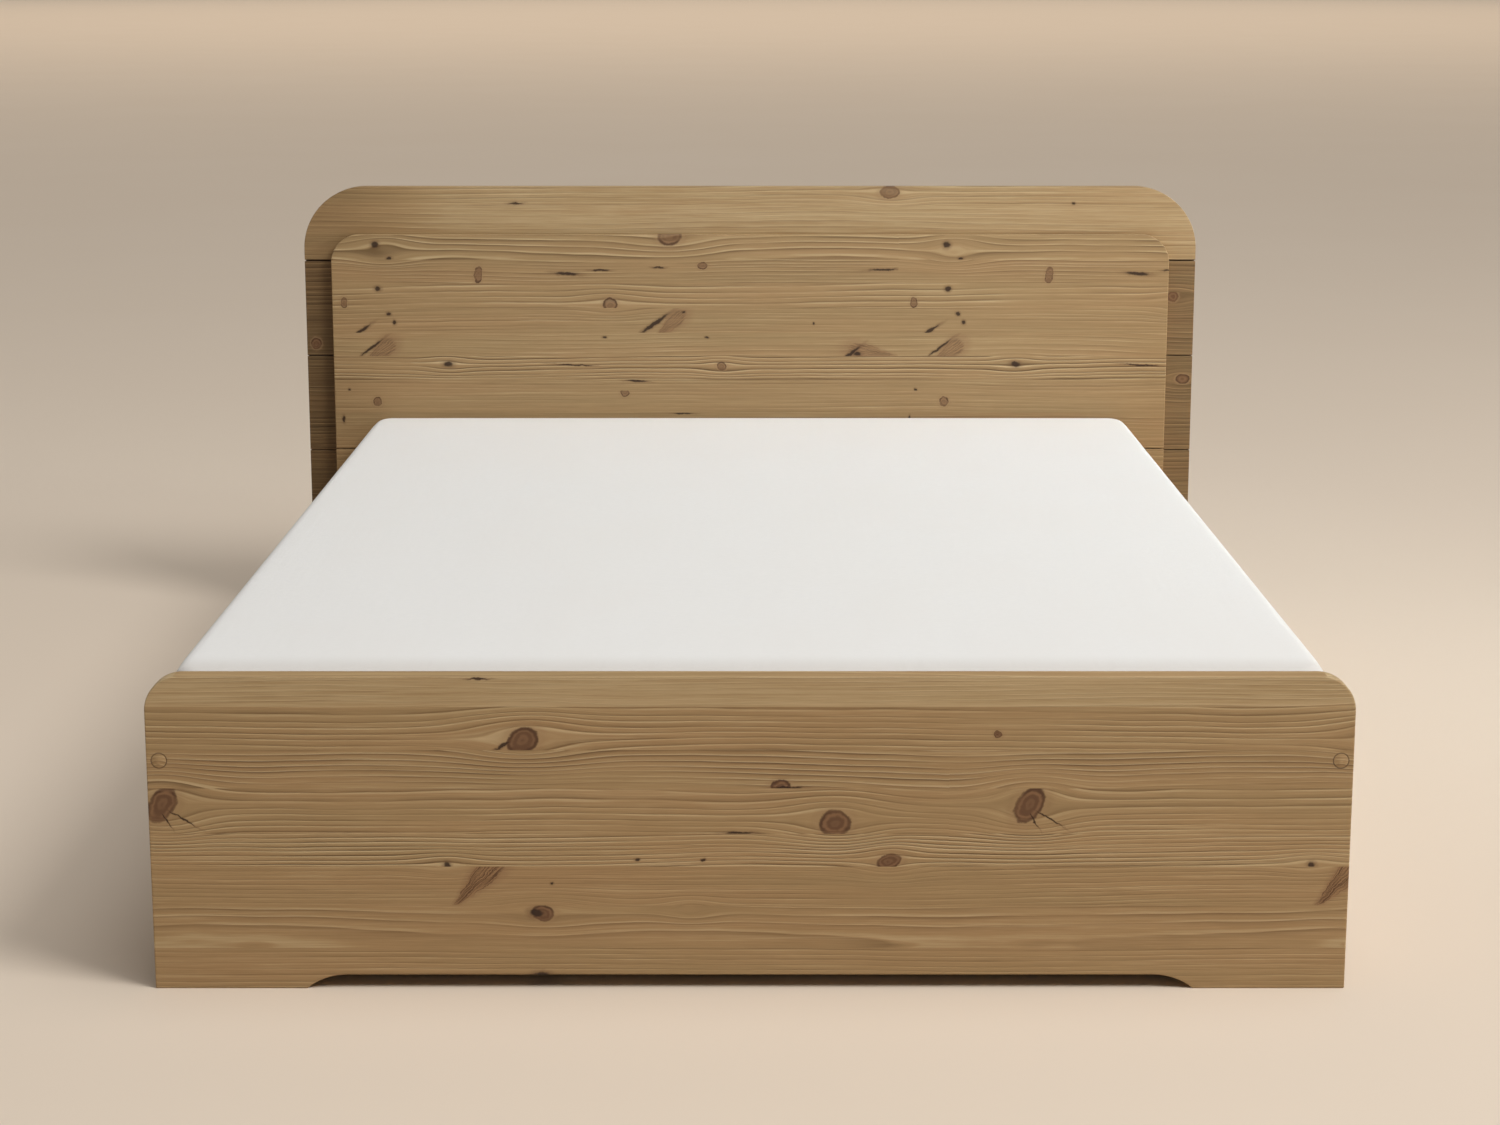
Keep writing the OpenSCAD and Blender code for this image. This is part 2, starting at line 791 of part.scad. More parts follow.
module drawer_castors(side, bay) {
    color(STEEL) on_side(side) {
        difference() {
            for (x = [inner_wheel_x, outer_wheel_x])
                for (y = castor_ys(bay))
                    translate([x, y, 0]) castor();
            castor_screw_set(bay, hole_gap);
        }
        castor_screw_set(bay);
    }
}

// A wheel with a chamfered tread, a dished face and a bored hub
module wheel() {
    tread_r = wheel_d / 2;
    chamfer = 1.5;
    rim = 4;
    dish = 3;
    profile = [
        [axle_d / 2 + pin_gap, -hub_w / 2],
        [hub_d / 2, -hub_w / 2],
        [hub_d / 2, dish - wheel_w / 2],
        [tread_r - rim, dish - wheel_w / 2],
        [tread_r - rim, -wheel_w / 2],
        [tread_r - chamfer, -wheel_w / 2],
        [tread_r, chamfer - wheel_w / 2],
        [tread_r, wheel_w / 2 - chamfer],
        [tread_r - chamfer, wheel_w / 2],
        [tread_r - rim, wheel_w / 2],
        [tread_r - rim, wheel_w / 2 - dish],
        [hub_d / 2, wheel_w / 2 - dish],
        [hub_d / 2, hub_w / 2],
        [axle_d / 2 + pin_gap, hub_w / 2]
    ];
    translate([0, 0, tread_r]) rotate([90, 0, 0]) rotate_extrude() polygon(profile);
}

module drawer_wheels(side, bay, x) {
    color(GREY_PLASTIC) on_side(side)
        for (y = castor_ys(bay))
            translate([x, y, 0]) wheel();
}

headboard_top_board();
headboard_upper_board();
headboard_middle_board();
headboard_lower_board();
headboard_front_panel();
headboard_front_lower_panel();
headboard_left_post();
headboard_centre_post();
headboard_right_post();
headboard_screws();
footboard();
footboard_plugs();
left_side_rail();
right_side_rail();
left_slat_ledge();
right_slat_ledge();
ledge_screws();
rail_bolts();
rail_barrel_nuts();
rail_dowels();
centre_beam();
beam_brackets();
bracket_screws();
foot_centre_leg();
head_centre_leg();
slats();
slat_screws();
mattress();
drawer_front(-1, 0);  // left_foot_drawer_front
drawer_side(-1, 0, 0);  // left_foot_drawer_foot_side
drawer_side(-1, 0, 1);  // left_foot_drawer_head_side
drawer_back(-1, 0);  // left_foot_drawer_back
drawer_bottom(-1, 0);  // left_foot_drawer_bottom
drawer_castors(-1, 0);  // left_foot_drawer_castors
drawer_wheels(-1, 0, outer_wheel_x);  // left_foot_drawer_outer_wheels
drawer_wheels(-1, 0, inner_wheel_x);  // left_foot_drawer_inner_wheels
drawer_front(-1, 1);  // left_head_drawer_front
drawer_side(-1, 1, 0);  // left_head_drawer_foot_side
drawer_side(-1, 1, 1);  // left_head_drawer_head_side
drawer_back(-1, 1);  // left_head_drawer_back
drawer_bottom(-1, 1);  // left_head_drawer_bottom
drawer_castors(-1, 1);  // left_head_drawer_castors
drawer_wheels(-1, 1, outer_wheel_x);  // left_head_drawer_outer_wheels
drawer_wheels(-1, 1, inner_wheel_x);  // left_head_drawer_inner_wheels
drawer_front(1, 0);  // right_foot_drawer_front
drawer_side(1, 0, 0);  // right_foot_drawer_foot_side
drawer_side(1, 0, 1);  // right_foot_drawer_head_side
drawer_back(1, 0);  // right_foot_drawer_back
drawer_bottom(1, 0);  // right_foot_drawer_bottom
drawer_castors(1, 0);  // right_foot_drawer_castors
drawer_wheels(1, 0, outer_wheel_x);  // right_foot_drawer_outer_wheels
drawer_wheels(1, 0, inner_wheel_x);  // right_foot_drawer_inner_wheels
drawer_front(1, 1);  // right_head_drawer_front
drawer_side(1, 1, 0);  // right_head_drawer_foot_side
drawer_side(1, 1, 1);  // right_head_drawer_head_side
drawer_back(1, 1);  // right_head_drawer_back
drawer_bottom(1, 1);  // right_head_drawer_bottom
drawer_castors(1, 1);  // right_head_drawer_castors
drawer_wheels(1, 1, outer_wheel_x);  // right_head_drawer_outer_wheels
drawer_wheels(1, 1, inner_wheel_x);  // right_head_drawer_inner_wheels
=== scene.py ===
"""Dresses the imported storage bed: eased pine boards, a padded mattress, steel and wheels, seen from its foot."""

import math

import bmesh
import bpy
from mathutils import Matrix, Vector


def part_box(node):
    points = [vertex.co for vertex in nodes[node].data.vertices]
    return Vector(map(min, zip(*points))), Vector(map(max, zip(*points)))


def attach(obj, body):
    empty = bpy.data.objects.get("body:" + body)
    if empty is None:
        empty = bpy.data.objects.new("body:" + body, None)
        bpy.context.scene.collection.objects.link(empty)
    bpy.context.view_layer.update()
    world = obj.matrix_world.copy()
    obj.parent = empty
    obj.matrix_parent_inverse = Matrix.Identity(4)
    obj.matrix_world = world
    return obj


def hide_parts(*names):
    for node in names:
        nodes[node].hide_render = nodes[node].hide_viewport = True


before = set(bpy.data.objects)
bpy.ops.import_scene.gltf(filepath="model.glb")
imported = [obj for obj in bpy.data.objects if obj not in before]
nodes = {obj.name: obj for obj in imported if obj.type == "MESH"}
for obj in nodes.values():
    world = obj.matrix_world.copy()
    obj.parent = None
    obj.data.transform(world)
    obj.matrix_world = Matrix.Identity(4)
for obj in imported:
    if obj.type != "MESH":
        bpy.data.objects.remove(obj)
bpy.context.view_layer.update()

BED = "bed_frame"
SIDES = ("left", "right")
BAYS = ("foot", "head")

# How far the arrises are eased, in metres: large faces, frame timber, boards that meet at a seam, drawer boxes
FACE_EASE, FRAME_EASE, SEAM_EASE, BOX_EASE = 0.0022, 0.002, 0.0012, 0.001


# ---------------------------------------------------------------- shop floor: shaping boards

def clear():
    """Leaves edit mode and selects nothing."""
    if bpy.context.object and bpy.context.object.mode != "OBJECT":
        bpy.ops.object.mode_set(mode="OBJECT")
    bpy.ops.object.select_all(action="DESELECT")


def take(piece):
    """Makes this the one selected and active piece."""
    clear()
    piece.select_set(True)
    bpy.context.view_layer.objects.active = piece


def settle(piece):
    """Puts the place and size of a piece into its mesh."""
    take(piece)
    bpy.ops.object.transform_apply(location=True, rotation=True, scale=True)


def block(name, low, high):
    """A squared length of timber between two corners."""
    clear()
    low, high = Vector(low), Vector(high)
    bpy.ops.mesh.primitive_cube_add(size=1, location=(low + high) / 2, scale=high - low)
    piece = bpy.context.object
    piece.name = piece.data.name = name
    settle(piece)
    return piece


def pick_edges(piece, wanted):
    """Opens the piece for editing with only the wanted edges selected; returns how many there are."""
    take(piece)
    bpy.ops.object.mode_set(mode="EDIT")
    bpy.ops.mesh.select_mode(type="EDGE")
    bpy.ops.mesh.select_all(action="DESELECT")
    mesh = bmesh.from_edit_mesh(piece.data)
    chosen = [edge for edge in mesh.edges if wanted(edge)]
    for edge in chosen:
        edge.select_set(True)
    bmesh.update_edit_mesh(piece.data)
    return len(chosen)


def round_edges(piece, wanted, radius, segments):
    """Rounds the wanted edges with one cutter."""
    if pick_edges(piece, wanted):
        bpy.ops.mesh.bevel(offset=radius, offset_type="OFFSET", segments=segments, profile=0.5, affect="EDGES")
    clear()


def runs_along(edge, axis):
    """Says whether the edge is straight along the axis: 0 for X, 1 for Y, 2 for Z."""
    a, b = edge.verts[0].co, edge.verts[1].co
    return (b - a).length > 1e-6 and abs((b - a).normalized()[axis]) > 0.999


def upper_corner(top):
    """Picks the two upper corners of an upright board that faces the bed's foot."""
    return lambda edge: runs_along(edge, 1) and edge.verts[0].co.z > top - 1e-5


def is_arris(edge, shortest=0.0):
    """An outer corner of the timber, where two faces meet sharply."""
    return (
        edge.is_manifold
        and edge.calc_length() > shortest
        and edge.calc_face_angle(0) > math.radians(50)
        and edge.calc_face_angle_signed(0) > 0
    )


def finish_surface(piece):
    """Smooth curves that still leave every flat face flat."""
    take(piece)
    bpy.ops.object.shade_smooth_by_angle(angle=math.radians(34))
    weighted = piece.modifiers.new("flat faces", "WEIGHTED_NORMAL")
    weighted.keep_sharp = True
    bpy.ops.object.modifier_apply(modifier=weighted.name)


def combine(piece, other, operation):
    """Saws the other shape out of the piece, or joins it on, and leaves one piece."""
    take(piece)
    saw = piece.modifiers.new("saw", "BOOLEAN")
    saw.operation = operation
    saw.solver = "EXACT"
    saw.object = other
    bpy.ops.object.modifier_apply(modifier=saw.name)
    bpy.data.objects.remove(other)


def hang(piece, body, material, slot_name, *replaced):
    """Gives a finished piece its material and its body, and hides the CAD nodes that it stands for."""
    piece.data.materials.clear()
    piece.data.materials.append(material)
    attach(piece, body)
    if replaced:
        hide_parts(*replaced)


def board(name, node, ease, corner=0.0):
    """A new board the size of a node, its two upper corners rounded and all its arrises eased."""
    low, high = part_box(node)
    piece = block(name, low, high)
    if corner:
        round_edges(piece, upper_corner(high.z), corner, 24)
    round_edges(piece, is_arris, ease, 4)
    finish_surface(piece)
    return piece


def eased_copy(name, node, ease, shortest=0.006):
    """The node's own shape, holes and all, with its long arrises eased."""
    piece = bpy.data.objects.new(name, nodes[node].data.copy())
    bpy.context.scene.collection.objects.link(piece)
    take(piece)
    bpy.ops.object.mode_set(mode="EDIT")
    bpy.ops.mesh.select_all(action="SELECT")
    bpy.ops.mesh.remove_doubles(threshold=0.00001)
    bpy.ops.mesh.dissolve_limited(angle_limit=math.radians(1))
    clear()
    round_edges(piece, lambda e: is_arris(e, shortest), ease, 3)
    finish_surface(piece)
    return piece


# ---------------------------------------------------------------- finishing shop: node helpers

def tint(red, green, blue):
    """A colour as a paint chart gives it, 0 to 255, turned into light."""
    def light(value):
        value /= 255
        return value / 12.92 if value <= 0.04045 else ((value + 0.055) / 1.055) ** 2.4
    return (light(red), light(green), light(blue), 1.0)


def feed(tree, socket, value):
    """Links an output to the socket, or sets a plain value on it."""
    if isinstance(value, bpy.types.NodeSocket):
        tree.links.new(value, socket)
    else:
        socket.default_value = value


def add(tree, kind, values=None, **settings):
    """A node with its settings, and values or links for its inputs."""
    made = tree.nodes.new(kind)
    for key, value in settings.items():
        setattr(made, key, value)
    for key, value in (values or {}).items():
        feed(tree, made.inputs[key], value)
    return made


def calc(tree, operation, *values, clamp=False):
    """One step of arithmetic on numbers."""
    made = add(tree, "ShaderNodeMath", dict(enumerate(values)), operation=operation, use_clamp=clamp)
    return made.outputs[0]


def vector(tree, operation, *values):
    """One step of arithmetic on places."""
    made = add(tree, "ShaderNodeVectorMath", dict(enumerate(values)), operation=operation)
    return made.outputs["Value" if operation in ("LENGTH", "DOT_PRODUCT", "DISTANCE") else "Vector"]


def between(tree, value, low, high, to_low=0.0, to_high=1.0, kind="SMOOTHSTEP"):
    """Turns the range from low to high into another one, and holds its ends beyond it."""
    values = {0: value, 1: low, 2: high, 3: to_low, 4: to_high}
    return add(tree, "ShaderNodeMapRange", values, interpolation_type=kind).outputs[0]


def blend_colours(tree, factor, first, second, kind="MIX"):
    """Goes from the first colour to the second; sockets 6 and 7 are the colour ones."""
    made = add(tree, "ShaderNodeMix", {0: factor, 6: first, 7: second}, data_type="RGBA", blend_type=kind)
    return made.outputs[2]


def noise(tree, place, size, detail=2.0, roughness=0.5, colour=False):
    """Cloudy variation; size scales the place on each axis first."""
    scaled = vector(tree, "MULTIPLY", place, size)
    values = {"Vector": scaled, "Scale": 1.0, "Detail": detail, "Roughness": roughness}
    return add(tree, "ShaderNodeTexNoise", values).outputs["Color" if colour else 0]


def steps(tree, factor, marks):
    """Four values that hold from one (position, values) mark to the next. All marks are put in place before any gets
    its values, because the ramp sorts them by position."""
    made = add(tree, "ShaderNodeValToRGB", {0: factor})
    made.color_ramp.interpolation = "CONSTANT"
    elements = made.color_ramp.elements
    while len(elements) < len(marks):
        elements.new(0.5)
    for element, (position, _) in zip(elements, marks):
        element.position = position
    for element, (_, values) in zip(elements, marks):
        element.color = values
    return made.outputs


def new_group(name, inputs, outputs):
    """An empty shader node group with named sockets, and its two ends."""
    tree = bpy.data.node_groups.new(name, "ShaderNodeTree")
    for label, kind in inputs:
        tree.interface.new_socket(label, in_out="INPUT", socket_type=f"NodeSocket{kind}")
    for label, kind in outputs:
        tree.interface.new_socket(label, in_out="OUTPUT", socket_type=f"NodeSocket{kind}")
    return tree, tree.nodes.new("NodeGroupInput").outputs, tree.nodes.new("NodeGroupOutput").inputs


def use(tree, group, values):
    """A shared group with values or links for its inputs; returns its outputs."""
    made = tree.nodes.new("ShaderNodeGroup")
    made.node_tree = group
    for key, value in values.items():
        feed(tree, made.inputs[key], value)
    return made.outputs


# ---------------------------------------------------------------- the pine's figure, as shared groups

def elsewhere(tree, place, key, stride):
    """The place moved along the board by its key, so that each key shows another part of the same tree."""
    shift = add(tree, "ShaderNodeCombineXYZ", {0: calc(tree, "MULTIPLY", key, stride)}).outputs[0]
    return vector(tree, "ADD", place, shift)


def growth_rings():
    """Year rings round a pith that lies beside the board, seen wherever the saw went through them."""
    tree, given, result = new_group(
        "year rings",
        [("Board", "Vector"), ("Pith", "Float"), ("Spacing", "Float"), ("Key", "Float")],
        [("Dark", "Float"), ("Pale", "Float"), ("Relief", "Float")],
    )
    pith_depth, slow_wander, quick_wander = 0.055, 0.034, 0.0035  # metres
    parts = add(tree, "ShaderNodeSeparateXYZ", {0: given["Board"]}).outputs
    place = elsewhere(tree, given["Board"], given["Key"], 37.0)
    slow = calc(tree, "SUBTRACT", noise(tree, place, (1.1, 2.0, 2.0), 1.0), 0.5)
    quick = calc(tree, "SUBTRACT", noise(tree, place, (7.0, 18.0, 18.0), 1.0), 0.5)
    across = calc(tree, "SUBTRACT", parts[1], given["Pith"])
    depth = calc(tree, "ADD", parts[2], pith_depth)
    radius = calc(tree, "SQRT", calc(tree, "ADD", calc(tree, "POWER", across, 2.0), calc(tree, "POWER", depth, 2.0)))
    radius = calc(tree, "MULTIPLY_ADD", slow, slow_wander, radius)
    radius = calc(tree, "MULTIPLY_ADD", quick, quick_wander, radius)
    years = calc(tree, "DIVIDE", radius, given["Spacing"])
    uneven = add(tree, "ShaderNodeTexNoise", {"W": years, "Scale": 0.31, "Detail": 1.0}, noise_dimensions="1D")
    years = calc(tree, "MULTIPLY_ADD", uneven.outputs[0], 1.3, years)
    ring = calc(tree, "FRACT", years)
    each = add(tree, "ShaderNodeTexWhiteNoise", {"W": calc(tree, "FLOOR", years)}, noise_dimensions="1D").outputs[0]
    strength = between(tree, each, 0.0, 1.0, 0.5, 1.0, "LINEAR")
    fading = between(tree, noise(tree, place, (3.5, 22.0, 22.0), 2.0), 0.33, 0.62, 0.36, 1.2)
    strength = calc(tree, "MULTIPLY", strength, fading)
    sharp = calc(tree, "POWER", between(tree, ring, 0.3, 0.94, kind="LINEAR"), 2.6)
    dark = calc(tree, "MULTIPLY", sharp, between(tree, ring, 1.0, 0.96, kind="LINEAR"))
    pale = calc(tree, "MULTIPLY", between(tree, ring, 0.0, 0.05), between(tree, ring, 0.34, 0.08))
    feed(tree, result["Dark"], calc(tree, "MULTIPLY", dark, strength))
    feed(tree, result["Pale"], calc(tree, "MULTIPLY", pale, strength))
    feed(tree, result["Relief"], calc(tree, "MULTIPLY", calc(tree, "SUBTRACT", dark, pale), strength))
    return tree


def wood_fibre():
    """Fine fibres, longer streaks and broad clouds of tone along the board."""
    tree, given, result = new_group(
        "wood fibre",
        [("Board", "Vector"), ("Key", "Float")],
        [("Fine", "Float"), ("Streak", "Float"), ("Cloud", "Float")],
    )
    place = elsewhere(tree, given["Board"], given["Key"], 53.0)
    hair = noise(tree, place, (26.0, 1250.0, 1250.0), 2.0, 0.6)
    strand = noise(tree, place, (8.0, 430.0, 430.0), 2.0, 0.6)
    feed(tree, result["Fine"], calc(tree, "MULTIPLY_ADD", calc(tree, "SUBTRACT", hair, 0.5), 0.55,
                                    calc(tree, "SUBTRACT", strand, 0.5)))
    feed(tree, result["Streak"], calc(tree, "SUBTRACT", noise(tree, place, (2.4, 85.0, 85.0), 2.0, 0.55), 0.5))
    feed(tree, result["Cloud"], calc(tree, "SUBTRACT", noise(tree, place, (1.3, 17.0, 17.0), 2.0, 0.5), 0.5))
    return tree


def grain_round_knot():
    """Parts the grain round a knot: what lies beside it is pushed outwards."""
    tree, given, result = new_group(
        "grain round knot",
        [("Board", "Vector"), ("Centre", "Vector"), ("Reach", "Vector"), ("Push", "Float")],
        [("Board", "Vector")],
    )
    away = vector(tree, "DIVIDE", vector(tree, "SUBTRACT", given["Board"], given["Centre"]), given["Reach"])
    away = vector(tree, "MULTIPLY", away, (1.0, 1.0, 0.0))
    fall = calc(tree, "EXPONENT", calc(tree, "MULTIPLY", vector(tree, "DOT_PRODUCT", away, away), -1.0))
    side = add(tree, "ShaderNodeSeparateXYZ", {0: away}).outputs[1]
    pushed = calc(tree, "MULTIPLY", calc(tree, "MULTIPLY", side, fall), calc(tree, "MULTIPLY", given["Push"], -2.3))
    step = add(tree, "ShaderNodeCombineXYZ", {1: pushed}).outputs[0]
    feed(tree, result["Board"], vector(tree, "ADD", given["Board"], step))
    return tree


def pine_surface():
    """Mixes the figure into a colour, a relief and a gloss."""
    tree, given, result = new_group(
        "pine surface",
        [("Tone", "Float"), ("Contrast", "Float"), ("Dark", "Float"), ("Pale", "Float"), ("Relief", "Float"),
         ("Fine", "Float"), ("Streak", "Float"), ("Cloud", "Float"), ("Wood", "Color"), ("Warm Wood", "Color"),
         ("Ring Wood", "Color")],
        [("Color", "Color"), ("Height", "Float"), ("Roughness", "Float")],
    )
    colour = blend_colours(tree, between(tree, given["Cloud"], -0.2, 0.2), given["Wood"], given["Warm Wood"])
    dark = calc(tree, "MULTIPLY", given["Dark"], given["Contrast"], clamp=True)
    colour = blend_colours(tree, dark, colour, given["Ring Wood"])
    light = calc(tree, "MULTIPLY_ADD", calc(tree, "MULTIPLY", given["Pale"], given["Contrast"]), 0.4, given["Tone"])
    light = calc(tree, "MULTIPLY_ADD", given["Fine"], 0.42, light)
    light = calc(tree, "MULTIPLY_ADD", given["Streak"], 0.34, light)
    light = calc(tree, "MULTIPLY_ADD", given["Cloud"], 0.14, light)
    colour = blend_colours(tree, between(tree, light, 1.06, 1.36, 0.0, 0.55), colour, tint(180, 160, 124))
    redder = {0: calc(tree, "POWER", light, 0.92), 1: light, 2: calc(tree, "POWER", light, 1.12)}
    shading = add(tree, "ShaderNodeCombineColor", redder).outputs[0]
    feed(tree, result["Color"], blend_colours(tree, 1.0, colour, shading, "MULTIPLY"))
    height = calc(tree, "MULTIPLY", given["Relief"], given["Contrast"])
    feed(tree, result["Height"], calc(tree, "MULTIPLY_ADD", given["Fine"], 0.35, height))
    feed(tree, result["Roughness"], calc(tree, "MULTIPLY_ADD", given["Fine"], 0.12, 0.56))
    return tree


def knot_mark():
    """Paints a knot from the distance to its middle, which is 1 at its rim."""
    tree, given, result = new_group(
        "knot mark",
        [("Color", "Color"), ("Distance", "Float"), ("Grain", "Float"), ("Strength", "Float")],
        [("Color", "Color")],
    )
    distance = given["Distance"]
    stain = calc(tree, "MULTIPLY", between(tree, distance, 1.9, 0.9), 0.28)
    colour = blend_colours(tree, stain, given["Color"], tint(136, 96, 66))
    wandering = calc(tree, "MULTIPLY_ADD", distance, 10.0, calc(tree, "MULTIPLY", given["Grain"], 26.0))
    core = blend_colours(tree, between(tree, calc(tree, "SINE", wandering), -1.0, 1.0),
                         tint(103, 70, 48), tint(136, 100, 70))
    core = blend_colours(tree, between(tree, distance, 0.6, 0.0, 0.0, 0.6), core, tint(94, 62, 44))
    filled = calc(tree, "MULTIPLY", between(tree, distance, 1.16, 0.86), given["Strength"])
    colour = blend_colours(tree, filled, colour, core)
    worn = between(tree, given["Grain"], -0.14, 0.1, 0.25, 0.85)
    rim = calc(tree, "MULTIPLY", between(tree, distance, 0.7, 0.93), between(tree, distance, 1.16, 0.98))
    colour = blend_colours(tree, calc(tree, "MULTIPLY", rim, worn), colour, tint(82, 54, 36))
    halo = calc(tree, "MULTIPLY", between(tree, distance, 1.04, 1.18), between(tree, distance, 1.5, 1.2))
    colour = blend_colours(tree, calc(tree, "MULTIPLY", halo, 0.22), colour, tint(186, 158, 116))
    feed(tree, result["Color"], colour)
    return tree


def dark_mark():
    """Paints a speck, a bark pocket or a resin slit: nearly black with a thin brown edge."""
    tree, given, result = new_group(
        "dark mark",
        [("Color", "Color"), ("Distance", "Float")],
        [("Color", "Color")],
    )
    edge = calc(tree, "MULTIPLY", between(tree, given["Distance"], 2.1, 0.8), 0.45)
    colour = blend_colours(tree, edge, given["Color"], tint(112, 80, 54))
    inside = between(tree, given["Distance"], 1.15, 0.6, 0.0, 0.92)
    feed(tree, result["Color"], blend_colours(tree, inside, colour, tint(54, 36, 25)))
    return tree


def branch_mark():
    """Paints a branch that was sawn lengthwise: a brown wedge that widens along itself, with its own streaks."""
    tree, given, result = new_group(
        "branch mark",
        [("Color", "Color"), ("Place", "Vector"), ("Strength", "Float")],
        [("Color", "Color")],
    )
    along, across, away = add(tree, "ShaderNodeSeparateXYZ", {0: given["Place"]}).outputs
    width = between(tree, along, -1.0, 1.0, 0.2, 1.15, "LINEAR")
    fanned = calc(tree, "DIVIDE", across, width)
    place = add(tree, "ShaderNodeCombineXYZ", {0: along, 1: fanned, 2: away}).outputs[0]
    distance = vector(tree, "LENGTH", place)
    streaks = noise(tree, place, (0.6, 8.0, 0.0), 2.0, 0.6)
    inside = calc(tree, "MULTIPLY", between(tree, distance, 1.12, 0.84), given["Strength"])
    wood = blend_colours(tree, between(tree, streaks, 0.42, 0.57), tint(94, 64, 43), tint(160, 124, 86))
    stain = calc(tree, "MULTIPLY", between(tree, distance, 1.7, 1.0), 0.3)
    colour = blend_colours(tree, stain, given["Color"], tint(142, 101, 72))
    feed(tree, result["Color"], blend_colours(tree, inside, colour, wood))
    return tree


RINGS = growth_rings()
FIBRE = wood_fibre()
PARTING = grain_round_knot()
SURFACE = pine_surface()
KNOT = knot_mark()
SPECK = dark_mark()
BRANCH = branch_mark()

# Colours of the oiled pine: clear wood, its warmer clouds and the dark edge of a year ring
OILED = (tint(170, 142, 101), tint(171, 139, 98), tint(108, 83, 52))
PALE = (tint(207, 183, 145), tint(208, 180, 142), tint(166, 134, 94))


# A ramp holds 0 to 1 in its four channels, so a stave's numbers are packed into them by these spans
TONE_SPAN, PITH_LOW, PITH_SPAN, SPACING_SPAN_MM, CONTRAST_GAIN = 2.0, -1.0, 4.0, 20, 1.35
# Steps of the key that tells one stave, one side of the bed or one board of a set from the next, and how far
# along the key a mark reaches
STAVE_STEP, SIDE_STEP, SET_STEP, MARK_REACH = 0.13, 0.41, 0.29, 0.02
# Boards of a set lie this far apart through their thickness, from this place on, in metres
SET_PITCH, SET_START = 0.12, 0.04
# Scattered knots: cells per metre along and across the board, and the radius of the smallest and largest in metres
KNOT_CELLS, SMALL_KNOT, LARGE_KNOT = (3.1, 11.0), 0.0035, 0.013


def stave_key(staves, across):
    """The key of the stave at this height in mm."""
    for index, stave in enumerate(staves):
        if across <= stave[0]:
            return STAVE_STEP * index
    return STAVE_STEP * (len(staves) - 1)


def from_mark(tree, place, mark, staves):
    """Place measured from a mark's middle, in its own radii. A mark is (along, across, radius, radius, turn), in mm
    and degrees. It ends at the edges of its stave, because the third axis holds the stave's key."""
    along, across, long_r, short_r, turn = mark
    values = {
        "Vector": place,
        "Location": (along / 1000, across / 1000, stave_key(staves, across)),
        "Rotation": (0.0, 0.0, math.radians(turn)),
        "Scale": (long_r / 1000, short_r / 1000, MARK_REACH),
    }
    return add(tree, "ShaderNodeMapping", values, vector_type="TEXTURE").outputs[0]


def nearest(tree, place, marks, staves):
    """Distance to the nearest of several marks, 1 at its rim."""
    best = None
    for mark in marks:
        distance = vector(tree, "LENGTH", from_mark(tree, place, mark, staves))
        best = distance if best is None else calc(tree, "MINIMUM", best, distance)
    return best


def scattered_knot(tree, figure, key, ragged, share):
    """Distance to the knot of this cell, 1 at its rim. Only this share of the cells has a knot."""
    along, across = KNOT_CELLS
    cells = elsewhere(tree, vector(tree, "MULTIPLY", figure, (along, across, 0.0)), key, 11.0)
    voronoi = add(tree, "ShaderNodeTexVoronoi", {"Vector": cells, "Scale": 1.0, "Randomness": 0.85})
    away = vector(tree, "SUBTRACT", cells, voronoi.outputs["Position"])
    away = vector(tree, "MULTIPLY", away, (1 / along, 1 / across, 0.0))
    away = vector(tree, "ADD", away, ragged)
    chance = add(tree, "ShaderNodeSeparateColor", {0: voronoi.outputs["Color"]}).outputs[0]
    radius = between(tree, chance, 1.0 - share, 1.0, SMALL_KNOT, LARGE_KNOT, "LINEAR")
    present = calc(tree, "GREATER_THAN", chance, 1.0 - share)
    distance = calc(tree, "DIVIDE", vector(tree, "LENGTH", away), radius)
    return calc(tree, "ADD", distance, calc(tree, "MULTIPLY", calc(tree, "SUBTRACT", 1.0, present), 9.0))


def plug_shade_ring(tree, along, across, seat):
    """A thin ring of painted shade where a plug's rim meets the board. A seat is (along, across, radius) in metres,
    on both sides.
    """
    seat_along, seat_across, seat_radius = seat
    spot = add(tree, "ShaderNodeCombineXYZ", {0: calc(tree, "ABSOLUTE", along), 1: across}).outputs[0]
    reach = vector(tree, "DISTANCE", spot, (seat_along, seat_across, 0.0))
    beside = calc(tree, "ABSOLUTE", calc(tree, "SUBTRACT", reach, seat_radius))
    return between(tree, beside, 0.0019, 0.0006, 0.0, 0.75)


